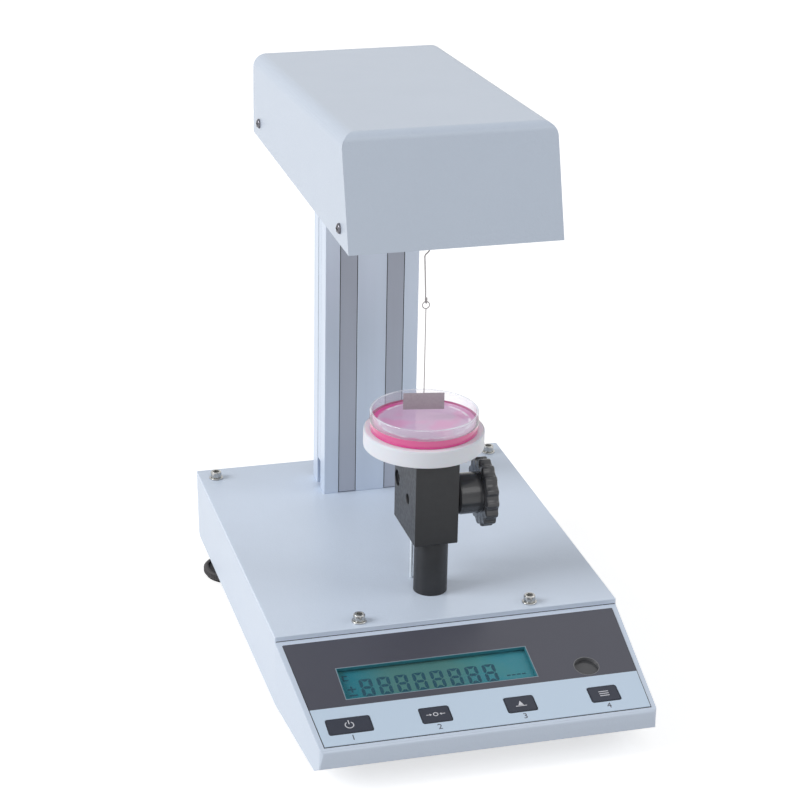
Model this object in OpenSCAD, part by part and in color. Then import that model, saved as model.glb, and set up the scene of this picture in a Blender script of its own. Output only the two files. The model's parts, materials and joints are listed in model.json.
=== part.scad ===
// Plate-type surface tensiometer: a base with keys and a display, a column with the force sensor's
// head, and a rack-and-pinion stage that lifts a dish of liquid up to the hanging plate.
// Millimetres, +Z up. X is across, Y runs from the keys (low) to the column (high), Z is 0 under the
// feet. Inside the modules everything is placed from the deck: X 0 on its centre line, Y 0 on its
// front edge, Z 0 on its top.

/* [Base] */
// Width of the deck plate
deck_w = 205; // [200:1:210]
// Depth of the deck plate
deck_d = 234; // [230:1:240]
// Thickness of the deck plate
deck_t = 3; // [2.5:0.5:3]
// Deck's top down to the bottom of the case
base_h = 44; // [43:0.5:46]
// Slope of the front panel, degrees
panel_angle = 14.2; // [13.5:0.1:14.5]
// How far the front lip stands in front of the deck
lip_reach = 86.8; // [86:0.2:88]
// How much the case narrows towards the lip, each side
lip_inset = 5.5; // [4:0.5:6]
// Sheet thickness of the case
sheet_t = 1.5; // [1.2:0.1:1.6]
// Height of the deck's top above the table
deck_above_table = 56.4; // [55.5:0.1:58]

/* [Column and head] */
// Width of the extrusion
column_w = 60; // [60:1:62]
// Depth of the extrusion
column_d = 30; // [30:1:31]
// Deck's front edge to the column's front face
column_y = 180; // [178:1:184]
// Deck's top to the head's lower edge
head_z = 224; // [220:1:230]
// Width of the head
head_w = 122; // [118:1:126]
// Where the head's lower front edge is
head_front_y = 2.9; // [2:0.1:4]
// Where the head's rear face is
head_rear_y = 244.2; // [243.6:0.1:246]
// Height of the head's front
head_front_h = 62.4; // [60:0.2:64]
// Height of the head's rear
head_rear_h = 49.5; // [48:0.5:50]
// How far the head's front face leans back
head_lean = 19.1; // [17:0.1:20]
// Radius of the head's long folds
head_fold_r = 8; // [6:0.5:9]

/* [Sample lift] */
// Post's radius
post_r = 10; // [9.8:0.1:10]
// Deck's front edge to the post's axis
post_y = 37.7; // [37:0.1:38]
// Block's lower face above the deck, at rest
block_z = 33.4; // [33:0.1:34]
// Height of the block
block_h = 51.1; // [51:0.1:52]
// Stage disc's radius
stage_r = 35.5; // [34:0.5:38]
// Stage disc's thickness
stage_t = 10.3; // [10:0.1:11]
// Dish's outer radius
dish_r = 31.9; // [30:0.1:32]
// Dish's height
dish_h = 11.8; // [11:0.1:13]
// Knob's radius over its lobes
knob_r = 20.4; // [19:0.2:22]
// Number of lobes on the knob
knob_lobes = 16; // [12:1:18]

/* [Plate] */
// Width of the wetting plate
plate_w = 24; // [20:1:26]
// Height of the wetting plate
plate_h = 10.2; // [9:0.1:11]
// How far the plate has turned on its hook, degrees
plate_turn = -10.5; // [-12:0.5:12]

/* [Hidden] */
$fn = 48;

// colours
paint = [0.80, 0.84, 0.89];
steel = [0.75, 0.76, 0.78];
black = [0.10, 0.10, 0.11];
brass = [0.72, 0.58, 0.32];
board_green = [0.10, 0.35, 0.22];
cover_grey = [0.57, 0.58, 0.62];

// frame: from the deck's front edge and top to the middle of the object's box and the table
origin_y = (lip_reach - head_rear_y) / 2;
axis_x = -0.4;
gap = 0.3;

// front panel
panel_top_z = -deck_t - 0.6;
panel_len = lip_reach / cos(panel_angle);
lip_top_z = panel_top_z - lip_reach * tan(panel_angle);
lip_low_z = lip_top_z - 11.8;
lip_low_y = -lip_reach + 1.8;
sole_front_y = -lip_reach + 12.3;
rear_lean = 5;
rear_bevel = 2.5;
rear_tilt = atan(rear_lean / (base_h - deck_t - rear_bevel));
lip_r = 2;
lip_c = [lip_r - lip_reach, lip_top_z - lip_r * (1 / cos(panel_angle) - tan(panel_angle))];
nose_r = 3;
label_t = 0.5;
label_s0 = 3.4;
label_s1 = panel_len - 3.4;
label_in0 = 3.7;
label_in1 = 8.8;
display_x = -17.8;
display_s = 39.6;
display_w = 111.4;
display_h = 25;
level_x = 68.1;
level_s = 48.7;
level_r = 7.2;
key_s = 72.1;
key_h = 11.8;
key_ws = [24.9, 17, 17, 17];
key_xs = [-76.6, -27.6, 21.6, 70.8];
key_gap = 0.3;
key_rise = 0.3;
key_r = 1.4;
key_flange = 1;
board_t = 1.6;
window_t = 1;
glass_t = 2.8;
display_board_z = -sheet_t - 4;
board_z = -sheet_t - 7.2;
keypad_board_size = [176, 16, board_t];
keypad_spacer_x = [-52, 46];
display_board_size = [120, 33, board_t];
window_edge = 3;
vial_h = 4.2;
vial_depth = 9.3;
cup_h = 11.8;

// boards in the base and in the head: corner, size, holes; chips and plugs as [x, y, w, d, h]
board_at = [-62, 40, -base_h + 9];
board_size = [124, 92, board_t];
board_hole_x = [5, 119];
board_hole_y = [5, 87];
chips = [[18, 50, 22, 22, 2.4], [52, 54, 14, 10, 2], [84, 56, 10, 26, 8], [100, 20, 14, 18, 9],
    [76, 8, 18, 8, 7]];
capacitor_x = [22, 36, 50];
capacitor_y = 22;
head_board_h = 16;
head_board_at = [-42, 163];
head_board_size = [84, 72, board_t];
head_spacer_x = 38;
head_spacer_y = [168, 230];
head_chips = [[22, 12, 18, 18, 2.4], [56, 9, 14, 22, 6], [20, 49, 30, 8, 5]];

// fasteners
deck_screw_at = [[-92.4, 219.9], [92.4, 219.9], [-51.4, 7.5], [51.4, 7.5]];
flange_w = 13;
foot_x = [-89.8, 89.8, -75.9, 75.9];
foot_y = [193.7, 193.7, -35, -35];
foot_r = 16.3;
foot_h = 6.2;
pad_h = 1.4;
stud_r = 2.9;
stud_l = 24;
knurls = 30;
bottom_screw_at = [for (x = [-94, 94], y = [20, 120, 215]) [x, y]];

// power inlet
inlet_x = -60;
inlet_z = -24;
inlet_r = 5.3;
inlet_l = 12;
inlet_flange = 2.2;
socket_r = 3;
socket_depth = 8;
pin_r = 1;

// column
slot_x = column_w / 4;
slot_w = 11.4;
side_slot_w = 8;
slot_lip = 2;
slot_in_w = 16.5;
slot_d = 8;
core_r = 3;
channel_w = 7;
cable_r = 1.6;
lead_r = 1;
side_cover_z = 18;
column_mid_y = column_y + column_d / 2;
foot_plate_t = 4;

// lift
block_w = 26;
block_y0 = 27.2;
block_y1 = 73;
shaft_y = 44.6;
shaft_z = 56.6;
shaft_r = 3;
pinion_m = 0.8;
pinion_n = 12;
pinion_r = pinion_m * pinion_n / 2;
pinion_w = 7;
pressure = 20;
rack_pitch = PI * pinion_m;
rack_y = shaft_y - pinion_r;
rack_w = 8;
rack_z0 = 27;
post_top = 66;
rack_back = 2.6;
rack_add = 0.5;
rack_ded = 1.1;
fit_gap = 0.05;
rod_x = axis_x - 6.9;
rod_y = 54.5;
rod_r = 1;
rod_top = 60;
stage_y = 57.8;
stage_z = block_z + block_h;
dish_z = stage_z + stage_t;
liquid_z = dish_z + 4.6;
dish_t = 1.5;
clamp_y = 67.5;
clamp_z = 60;
knob_x0 = 14.8;
knob_hub_l = 14.4;
knob_disc_t = 7.5;
knob_hub_r = 12.2;
grub_x = 9;
stage_screw_x = 8.2;
stage_screw_y = 62;
stage_screw_head = 2.8;
stage_screw_sunk = 3.4;

// hanger
hang_x = -1.0;
hang_y = stage_y;
ring_top = 173.6;
ring_R = 2.1;
rod_wire_r = 0.3;
wire_r = 0.4;
hook_R = 1.3;
hook_z = ring_top - 2 * rod_wire_r - wire_r - 0.12 + hook_R;
plate_top = 116.9;
plate_t = 0.3;

// sensor
sensor_z = head_z + 20;
sensor_y0 = 72;
sensor_y1 = 152;
sensor_w = 13;
sensor_hole_y = [104, 120];
sensor_hole_r = 5;
pedestal_y = 132;
pedestal_size = [18, 24];

function arc(c, r, a0, a1, n = 6) =
    [for (i = [0:n]) let (a = a0 + (a1 - a0) * i / n) [c[0] + r * cos(a), c[1] + r * sin(a)]];

module at_deck() translate([0, origin_y, deck_above_table]) children();

// the panel's own frame: x across, y up the slope, z out of the panel
module on_panel() at_deck() translate([0, 0, panel_top_z]) rotate([panel_angle, 0, 0]) children();

// the leaning rear wall's own frame at one point: z out of the wall
module on_rear_wall(x, z) at_deck()
    translate([x, deck_d + (z + deck_t) * tan(rear_tilt), z]) rotate([-90 - rear_tilt, 0, 0]) children();

// points beside the panel and the rear wall, w out of them
function panel_point(x, s, w) = [x, -s * cos(panel_angle) - w * sin(panel_angle),
    panel_top_z - s * sin(panel_angle) + w * cos(panel_angle)];
function rear_point(x, z, w) = [x, deck_d + (z + deck_t) * tan(rear_tilt) + w * cos(rear_tilt),
    z - w * sin(rear_tilt)];

// extrudes a (y, z) outline across the object, centred on X = mid
module across(w, mid = 0) translate([mid - w / 2, 0, 0]) rotate([90, 0, 90]) linear_extrude(w) children();

module rounded_rect(w, h, r) {
    polygon(concat(arc([w / 2 - r, h / 2 - r], r, 0, 90), arc([r - w / 2, h / 2 - r], r, 90, 180),
        arc([r - w / 2, r - h / 2], r, 180, 270), arc([w / 2 - r, r - h / 2], r, 270, 360)));
}

// a round bar between two points
module bar(p, q, r) {
    d = q - p;
    l = norm(d);
    translate(p) rotate([0, acos(d[2] / l), atan2(d[1], d[0])]) cylinder(r = r, h = l);
}

// round bars through the points, with a slightly fuller ball at each bend
module wire(points, r) {
    for (i = [0:len(points) - 2]) bar(points[i], points[i + 1], r);
    for (i = [1:len(points) - 2]) translate(points[i]) sphere(r = r * 1.04, $fn = 24);
}

// cap screw, head up, the head's underside at z = 0
module cap_screw(r, len_below, head_r = 0, head_h = 0) {
    hr = head_r > 0 ? head_r : r * 1.75;
    hh = head_h > 0 ? head_h : r * 2;
    difference() {
        union() {
            cylinder(r = hr, h = hh);
            translate([0, 0, -len_below]) cylinder(r = r, h = len_below);
        }
        translate([0, 0, hh / 2]) cylinder(r = r * 0.95, h = hh, $fn = 6);
    }
}

// pan-head screw with a crossed recess, head up
module pan_screw(r, len_below, head_r, head_h) {
    difference() {
        union() {
            cylinder(r = head_r, h = head_h * 0.5);
            translate([0, 0, head_h * 0.5]) cylinder(r1 = head_r, r2 = head_r * 0.6, h = head_h * 0.5);
            translate([0, 0, -len_below]) cylinder(r = r, h = len_below);
        }
        for (a = [0, 90]) rotate(a) translate([-head_r * 0.55, -r * 0.2, head_h * 0.45])
            cube([head_r * 1.1, r * 0.4, head_h]);
    }
}

// ---------------------------------------------------------------- base
// outline of the case from above, t inside its outer faces
function case_plan(t) = concat(
    [[deck_w / 2 - t, deck_d - t], [t - deck_w / 2, deck_d - t], [t - deck_w / 2, 0]],
    arc([-deck_w / 2 + lip_inset + nose_r, -lip_reach + nose_r], nose_r - t, 180, 270, 4),
    arc([deck_w / 2 - lip_inset - nose_r, -lip_reach + nose_r], nose_r - t, 270, 360, 4),
    [[deck_w / 2 - t, 0]]);

// outline of the case seen from its side, t inside its outer faces
function case_side(t) = concat(
    [[deck_d - t, -deck_t], [0, -deck_t], [0, panel_top_z - t / cos(panel_angle)]],
    arc(lip_c, lip_r - t, 90 + panel_angle, 180, 4),
    [[lip_low_y + t, lip_low_z], [sole_front_y + t, -base_h],
     [deck_d - rear_lean - rear_bevel - t, -base_h], [deck_d - rear_lean - t, -base_h + rear_bevel]]);

module case_solid(t) {
    intersection() {
        across(deck_w + 2) polygon(case_side(t));
        translate([0, 0, -base_h - 1]) linear_extrude(base_h + 2) polygon(case_plan(t));
    }
}

module key_hole(i, grow, depth) {
    translate([key_xs[i], -key_s, -depth]) linear_extrude(depth + 5)
        rounded_rect(key_ws[i] + 2 * grow, key_h + 2 * grow, key_r);
}

module panel_openings(depth) {
    translate([display_x - display_w / 2, -display_s - display_h / 2, -depth])
        cube([display_w, display_h, depth + 5]);
    translate([level_x, -level_s, -depth]) cylinder(r = level_r, h = depth + 5);
    for (i = [0:3]) key_hole(i, key_gap, depth);
}

module base_shell() color(paint) {
    difference() {
        at_deck() difference() {
            case_solid(0);
            // the hollow between the upper and the lower flange
            difference() {
                case_solid(sheet_t);
                translate([-deck_w, -lip_reach, -deck_t - sheet_t]) cube([2 * deck_w, deck_d * 2, 10]);
                translate([-deck_w, -lip_reach * 2, -base_h - 10])
                    cube([2 * deck_w, deck_d * 3, 10 + 2 * sheet_t + gap]);
            }
            // the opening within the upper flange
            translate([flange_w - deck_w / 2, flange_w, -base_h / 2])
                cube([deck_w - 2 * flange_w, deck_d - 2 * flange_w, base_h]);
            // the bottom plate's recess and the opening within the lower flange
            translate([0, 0, -base_h - 5]) linear_extrude(5 + sheet_t + gap)
                polygon(case_plan(sheet_t + 0.01));
            translate([flange_w - deck_w / 2, sole_front_y + flange_w, -base_h - 5])
                cube([deck_w - 2 * flange_w, deck_d - 2 * flange_w - sole_front_y, base_h / 2 - 5]);
            for (p = deck_screw_at) translate([p[0], p[1], -20]) cylinder(r = 2.3, h = 20);
            for (p = bottom_screw_at) translate([p[0], p[1], -base_h]) cylinder(r = 1.4, h = 5);
            for (i = [0:3]) translate([foot_x[i], foot_y[i], -base_h]) cylinder(r = 7, h = 8);
        }
        on_panel() panel_openings(3);
        on_rear_wall(inlet_x, inlet_z) translate([0, 0, -5]) cylinder(r = inlet_r + 0.2, h = 10);
    }
}

module deck_plate() color(paint) at_deck() difference() {
    translate([-deck_w / 2, 0, -deck_t]) cube([deck_w, deck_d, deck_t]);
    for (p = deck_screw_at) translate([p[0], p[1], -5]) cylinder(r = 2.3, h = 10);
    translate([axis_x, post_y, -5]) cylinder(r = 3.2, h = 10);
    translate([rod_x, rod_y, -5]) cylinder(r = rod_r, h = 10);
    for (s = [-1, 1]) translate([s * slot_x, column_mid_y, -5]) cylinder(r = 3.4, h = 10);
    translate([0, column_mid_y, -5]) cylinder(r = 2.6, h = 10);
}

module deck_screws() color(steel) at_deck()
    for (p = deck_screw_at) translate([p[0], p[1], 0.9]) cap_screw(2, 9, 3.5, 4);

module deck_washers() color(steel) at_deck() for (p = deck_screw_at) translate([p[0], p[1], 0]) difference() {
    cylinder(r = 4.4, h = 0.9);
    translate([0, 0, -1]) cylinder(r = 2.15, h = 4);
}

// nuts welded under the deck's flange and over the feet
module case_nuts() color(steel) at_deck() {
    for (p = deck_screw_at) translate([p[0], p[1], -deck_t - sheet_t - 3]) difference() {
        cylinder(r = 4, h = 3, $fn = 6);
        translate([0, 0, -1]) cylinder(r = 2, h = 6);
    }
    for (i = [0:3]) translate([foot_x[i], foot_y[i], -base_h + sheet_t]) difference() {
        cylinder(r = 5.6, h = 5, $fn = 6);
        translate([0, 0, -1]) cylinder(r = stud_r + fit_gap, h = 8);
    }
}

module bottom_plate() color(paint) at_deck() difference() {
    intersection() {
        translate([0, 0, -base_h]) linear_extrude(sheet_t) polygon(case_plan(sheet_t + gap));
        across(deck_w + 2) polygon(case_side(sheet_t + gap));
    }
    for (i = [0:3]) translate([foot_x[i], foot_y[i], -base_h - 1]) cylinder(r = 3.4, h = 5);
    for (p = bottom_screw_at) translate([p[0], p[1], -base_h - 1]) cylinder(r = 1.5, h = 5);
}

module bottom_screws() color(steel) at_deck() for (p = bottom_screw_at)
    translate([p[0], p[1], -base_h]) mirror([0, 0, 1]) pan_screw(1.4, 6, 2.8, 1.8);

module foot_pad(i) color(black) at_deck() translate([foot_x[i], foot_y[i], -deck_above_table]) {
    difference() {
        cylinder(r = foot_r - 1.6, h = pad_h);
        translate([0, 0, pad_h - 0.6]) cylinder(r = 5, h = 2);
    }
}

// knurled disc with its threaded stud
module foot_screw(i) color([0.14, 0.14, 0.15])
    at_deck() translate([foot_x[i], foot_y[i], -deck_above_table + pad_h + 0.15]) {
        difference() {
            cylinder(r = foot_r, h = foot_h - pad_h);
            for (k = [0:knurls - 1]) rotate(k * 360 / knurls) translate([foot_r + 0.5, 0, -1])
                cylinder(r = 1, h = foot_h + 2, $fn = 16);
            translate([0, 0, foot_h - pad_h - 1.2]) difference() {
                cylinder(r = foot_r - 3, h = 3);
                translate([0, 0, -1]) cylinder(r = 6, h = 5);
            }
        }
        cylinder(r = stud_r, h = stud_l);
    }

module front_label() color([0.33, 0.33, 0.37]) on_panel() difference() {
    linear_extrude(label_t) polygon([
        [label_in0 - deck_w / 2, -label_s0], [deck_w / 2 - label_in0, -label_s0],
        [deck_w / 2 - label_in1, -label_s1], [label_in1 - deck_w / 2, -label_s1]]);
    panel_openings(1);
}

// key cap, its flange behind the panel and the pin that presses its switch
module key(i) color([0.30, 0.30, 0.34]) on_panel() translate([key_xs[i], -key_s, -sheet_t]) {
    cap_t = sheet_t + label_t + key_rise;
    edge = 0.25;
    translate([0, 0, -1.3]) linear_extrude(cap_t + 1.3 - edge)
        rounded_rect(key_ws[i], key_h, key_r - key_gap);
    translate([0, 0, cap_t - edge]) linear_extrude(edge)
        rounded_rect(key_ws[i] - 2 * edge, key_h - 2 * edge, key_r - key_gap);
    translate([0, 0, -1.3]) linear_extrude(1)
        rounded_rect(key_ws[i] + 2 * key_flange, key_h + 2 * key_flange, key_r);
    translate([0, 0, -2]) cylinder(r = 1.6, h = 1);
}

module key_power() key(0);
module key_tare() key(1);
module key_cal() key(2);
module key_mode() key(3);

module key_switches() color(black) on_panel() for (i = [0:3]) translate([key_xs[i], -key_s, board_z]) {
    translate([-3, -3, 0]) cube([6, 6, 3.4]);
    translate([0, 0, 3.4]) cylinder(r = 1.7, h = 1.1);
}

module keypad_board() color(board_green) on_panel()
    translate([-keypad_board_size[0] / 2, -key_s - 7, board_z - board_t]) cube(keypad_board_size);

module display_window() color([0.7, 0.9, 0.9, 0.5]) on_panel()
    translate([display_x - display_w / 2 - window_edge, -display_s - display_h / 2 - 1, -sheet_t - window_t])
        cube([display_w + 2 * window_edge, display_h + 2, window_t]);

module display_glass() color([0.25, 0.57, 0.57]) on_panel()
    translate([display_x - display_w / 2 - 2, -display_s - display_h / 2 - 1, display_board_z])
        cube([display_w + 4, display_h + 2, glass_t]);

module display_board() color(board_green) on_panel()
    translate([display_x - display_board_size[0] / 2, -display_s - display_board_size[1] / 2,
        display_board_z - board_t]) cube(display_board_size);

module level_vial() color([0.75, 0.85, 0.5, 0.6]) on_panel() translate([level_x, -level_s, -sheet_t - vial_depth])
    rotate([-panel_angle, 0, 0]) cylinder(r = level_r - 0.2, h = vial_h);

module level_cup() color(black) on_panel() translate([level_x, -level_s, -sheet_t - cup_h]) difference() {
    cylinder(r = level_r + 2, h = cup_h);
    translate([0, 0, 0.8]) cylinder(r = level_r + 0.7, h = 10);
}

module main_board() color(board_green) at_deck() translate(board_at) difference() {
    cube(board_size);
    for (x = board_hole_x, y = board_hole_y) translate([x, y, -1]) cylinder(r = 1.6, h = 4);
}

module boxes(list) for (b = list) translate([b[0], b[1], 0]) cube([b[2], b[3], b[4]]);

// capacitors, chips and plug connectors of the main board
module board_parts() color(black) at_deck() translate(board_at + [0, 0, board_t]) {
    boxes(chips);
    for (x = capacitor_x) translate([x, capacitor_y, 0]) cylinder(r = 4, h = 12);
}

// spacers of the boards behind the panel, on the bottom plate and in the head
module board_spacers() color(steel) {
    on_panel() {
        for (x = keypad_spacer_x) translate([x, -key_s, board_z])
            cylinder(r = 2, h = -board_z - sheet_t);
        for (x = [-1, 1], y = [-1, 1])
            translate([display_x + x * (display_board_size[0] / 2 - 1.4),
                -display_s + y * (display_board_size[1] / 2 - 1.6), display_board_z])
                cylinder(r = 1.1, h = -sheet_t - display_board_z);
    }
    at_deck() {
        for (x = board_hole_x, y = board_hole_y)
            translate([board_at[0] + x, board_at[1] + y, -base_h + sheet_t]) {
                cylinder(r = 2.8, h = board_at[2] + base_h - sheet_t);
                cylinder(r = 1.5, h = board_at[2] + base_h + board_t);
                translate([0, 0, board_at[2] + base_h - sheet_t + board_t]) cylinder(r = 2.7, h = 1.8);
            }
        for (x = [-1, 1], y = head_spacer_y) translate([x * head_spacer_x, y, head_z + tray_t])
            cylinder(r = 2.8, h = head_board_h - tray_t);
    }
}

// low-voltage socket with its centre pin; the collar clamps it in the rear wall
module power_inlet() color(black) on_rear_wall(inlet_x, inlet_z) difference() {
    union() {
        translate([0, 0, -inlet_l]) cylinder(r = inlet_r, h = inlet_l + 1);
        cylinder(r = inlet_r + inlet_flange, h = inlet_flange);
    }
    translate([0, 0, -socket_depth]) difference() {
        cylinder(r = socket_r, h = 12);
        cylinder(r = pin_r, h = 9);
    }
}

module column_foot_plate() color(steel) at_deck() translate([0, column_mid_y, -deck_t - foot_plate_t])
    difference() {
        translate([-column_w / 2 - 10, -column_d / 2 - 8, 0])
            cube([column_w + 20, column_d + 16, foot_plate_t]);
        for (s = [-1, 1]) translate([s * slot_x, 0, -1]) cylinder(r = 3.5, h = 6);
        translate([0, 0, -1]) cylinder(r = 2.6, h = 6);
    }

// screws from below into the post and the column, and from the head into the column
module frame_bolts() color(steel) at_deck() {
    translate([axis_x, post_y, -deck_t]) mirror([0, 0, 1]) cap_screw(3, 15);
    for (s = [-1, 1]) {
        translate([s * slot_x, column_mid_y, -deck_t - foot_plate_t]) mirror([0, 0, 1]) cap_screw(3, 30);
        translate([s * slot_x, column_mid_y, head_z + tray_t]) cap_screw(3, 26);
    }
}

// ---------------------------------------------------------------- column
module t_slot(w, lip, depth) {
    translate([-w / 2, -0.01]) square([w, lip + 0.02]);
    polygon([[-slot_in_w / 2, lip], [slot_in_w / 2, lip], [slot_in_w / 2, lip + 1.5], [3.6, depth],
        [-3.6, depth], [-slot_in_w / 2, lip + 1.5]]);
}

module column() color([0.68, 0.72, 0.76]) at_deck() translate([0, column_y, 0])
    linear_extrude(head_z) difference() {
        translate([-column_w / 2, 0]) square([column_w, column_d]);
        for (s = [-1, 1]) {
            translate([s * slot_x, 0]) t_slot(slot_w, slot_lip, slot_d);
            translate([s * slot_x, column_d]) mirror([0, 1]) t_slot(slot_w, slot_lip, slot_d);
            translate([s * slot_x, column_d / 2]) circle(r = core_r);
            translate([s * column_w / 2, column_d / 2]) rotate(s * 90) t_slot(side_slot_w, slot_lip, 7.5);
        }
        translate([-channel_w / 2, 5]) square([channel_w, column_d - 10]);
    }

// strips that close the slots, a little below the faces
module slot_strip(w) {
    translate([-w / 2 + 0.25, 0.2]) square([w - 0.5, 1.2]);
    for (s = [-1, 1]) translate([s * (w / 2 - 1.3) - 0.5, 1.3]) square([1, 2.6]);
}

module slot_covers() color(cover_grey) at_deck() translate([0, column_y, 0]) {
    for (s = [-1, 1]) {
        translate([s * slot_x, 0, 0.5]) linear_extrude(head_z - 1) slot_strip(slot_w);
        translate([s * slot_x, column_d, 0.5]) mirror([0, 1, 0])
            linear_extrude(head_z - 1) slot_strip(slot_w);
        translate([s * column_w / 2, column_d / 2, side_cover_z]) rotate(s * 90)
            linear_extrude(head_z - side_cover_z - 0.5) slot_strip(side_slot_w);
    }
}

// leads from the head to the main board, and from there to the inlet, the display and the keys
module inner_cables() color([0.3, 0.3, 0.32]) at_deck() {
    plug_z = board_at[2] + board_t;
    sensor_lead = [[0, column_mid_y, head_z + head_board_h], [0, column_mid_y, -20], [0, 122, -20],
        [27, 109, -21], [27, 109, plug_z + 8]];
    power_lead = [rear_point(inlet_x, inlet_z, -inlet_l), rear_point(inlet_x, inlet_z, -inlet_l - 5),
        [-50, 140, -26], [-49, 124, -26], [-49, 124, plug_z]];
    display_lead = [panel_point(19, display_s, display_board_z - board_t),
        panel_point(19, display_s, display_board_z - 5), [19, 36, -26], [19, 44, -20], [19, 52, -20],
        [19, 52, plug_z + 7]];
    key_lead = [panel_point(27, key_s, board_z - board_t), panel_point(27, key_s, board_z - 4),
        [27, 34, -34], [27, 44, -22], [27, 52, -22], [27, 52, plug_z + 7]];
    head_lead = [[hang_x + 6.5, 142, head_z + 26], [hang_x + 10, 142, head_z + 26],
        [20, 178, head_z + 30], [20, 178, head_z + head_board_h + board_t + 6]];
    wire(sensor_lead, cable_r);
    for (lead = [power_lead, display_lead, key_lead, head_lead]) wire(lead, lead_r);
}

// ---------------------------------------------------------------- sample lift
module post() color(black) at_deck() difference() {
    translate([axis_x, post_y, 0]) cylinder(r = post_r, h = post_top);
    // flat and groove for the rack
    translate([axis_x - 15, rack_y + rack_add + 0.1, rack_z0]) cube([30, 20, 60]);
    translate([axis_x - rack_w / 2, rack_y - rack_back, rack_z0]) cube([rack_w, 20, 60]);
    translate([axis_x, post_y, -1]) cylinder(r = 3, h = 16);
}

// rack teeth face +Y, a space is level with the pinion's axis at rest
module rack() color(steel) at_deck() {
    half = rack_pitch / 4 - 0.07;
    t = tan(pressure);
    n0 = ceil((rack_z0 + 1.5 - shaft_z) / rack_pitch - 0.5);
    n1 = floor((post_top - 1.2 - shaft_z) / rack_pitch - 0.5);
    across(rack_w, axis_x) union() {
        translate([rack_y - rack_back, rack_z0]) square([rack_back - rack_ded, post_top - rack_z0]);
        for (k = [n0:n1]) let (z = shaft_z + (k + 0.5) * rack_pitch, root = rack_ded + 0.1) polygon([
            [rack_y - root, z - half - root * t], [rack_y + rack_add, z - half + rack_add * t],
            [rack_y + rack_add, z + half - rack_add * t], [rack_y - root, z + half + root * t]]);
    }
}

module guide_rod() color(steel) at_deck() {
    translate([rod_x, rod_y, 0]) cylinder(r = rod_r, h = rod_top);
    translate([rod_x, rod_y, -deck_t - 2.4]) cylinder(r = rod_r, h = deck_t + 3);
    translate([rod_x, rod_y, -deck_t - 2.4]) cylinder(r = 2.4, h = 2.4, $fn = 6);
}

module lift_block() color([0.13, 0.13, 0.14]) at_deck() difference() {
    translate([axis_x - block_w / 2, block_y0, block_z]) cube([block_w, block_y1 - block_y0, block_h]);
    // post bore
    translate([axis_x, post_y, block_z - 1]) cylinder(r = post_r + fit_gap, h = block_h + 2);
    // room for the pinion
    translate([axis_x - pinion_w / 2 - 0.6, post_y, shaft_z - 6.6])
        cube([pinion_w + 1.2, shaft_y + 6.4 - post_y, 13.2]);
    // shaft and its bushes
    translate([axis_x - block_w / 2 + 2.5, shaft_y, shaft_z]) rotate([0, 90, 0])
        cylinder(r = shaft_r + 1, h = 40);
    translate([axis_x - 20, shaft_y, shaft_z]) rotate([0, 90, 0]) cylinder(r = shaft_r + 0.1, h = 40);
    // guide rod's hole
    translate([rod_x, rod_y, block_z - 1]) cylinder(r = rod_r + fit_gap, h = block_h + 2);
    // slit behind the post and the screw that closes it
    translate([axis_x - 0.6, post_y, block_z - 1]) cube([1.2, block_y1, block_h + 2]);
    translate([axis_x - 20, clamp_y, clamp_z]) rotate([0, 90, 0]) cylinder(r = 2.6, h = 30);
    translate([axis_x - block_w / 2 - 1, clamp_y, clamp_z]) rotate([0, 90, 0]) cylinder(r = 4.8, h = 6);
    // stage screws
    for (s = [-1, 1]) translate([axis_x + s * stage_screw_x, stage_screw_y, stage_z - 10])
        cylinder(r = 1.5, h = 20);
}

module clamp_screw() color(black) at_deck() translate([axis_x - block_w / 2 + 5, clamp_y, clamp_z])
    rotate([0, -90, 0]) cap_screw(2.5, 14, 4.4, 3.6);

// bushes in the block's two side walls; the right one has a collar that carries the knob's thrust
module shaft_bushes() color(brass) on_shaft(axis_x) difference() {
    bush_l = block_w / 2 - pinion_w / 2 - 0.8;
    union() {
        translate([0, 0, 2.5 - block_w / 2]) cylinder(r = shaft_r + 1, h = bush_l - 2.5);
        translate([0, 0, block_w / 2 - bush_l]) cylinder(r = shaft_r + 1, h = bush_l);
        translate([0, 0, block_w / 2]) cylinder(r = 7.5, h = knob_x0 - axis_x - block_w / 2 - 0.3);
    }
    translate([0, 0, -30]) cylinder(r = shaft_r + fit_gap, h = 60);
}

module pinion_shaft() color(steel) on_shaft(axis_x) translate([0, 0, 1.8 - block_w / 2])
    cylinder(r = shaft_r, h = block_w / 2 - 1.8 + knob_x0 + knob_hub_l - axis_x);

// z along the knob's shaft from x = x0
module on_shaft(x0) at_deck() translate([x0, shaft_y, shaft_z]) rotate([0, 90, 0]) children();

function involute(a) = tan(a) * 180 / PI - a;
pinion_base = pinion_r * cos(pressure);
pinion_root = pinion_r - 0.85;
pinion_tip = pinion_r + 0.7;
pinion_half = (PI * pinion_m / 2 - 0.14) / 2 / pinion_r * 180 / PI;
function flank(r) =
    pinion_half + involute(pressure) - involute(acos(min(1, pinion_base / max(r, pinion_base))));
tooth_radii = [pinion_root, pinion_base, pinion_r - 0.1, pinion_r + 0.3, pinion_tip];
function tooth(a) = concat(
    [for (i = [0:4]) let (r = tooth_radii[i], b = a - flank(r)) [r * cos(b), r * sin(b)]],
    [for (i = [4:-1:0]) let (r = tooth_radii[i], b = a + flank(r)) [r * cos(b), r * sin(b)]]);

module pinion_gear() color(brass) at_deck() translate([axis_x - pinion_w / 2, shaft_y, shaft_z])
    rotate([90, 0, 90]) linear_extrude(pinion_w) difference() {
        polygon([for (k = [0:pinion_n - 1]) each tooth(k * 360 / pinion_n)]);
        circle(r = shaft_r);
    }

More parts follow.
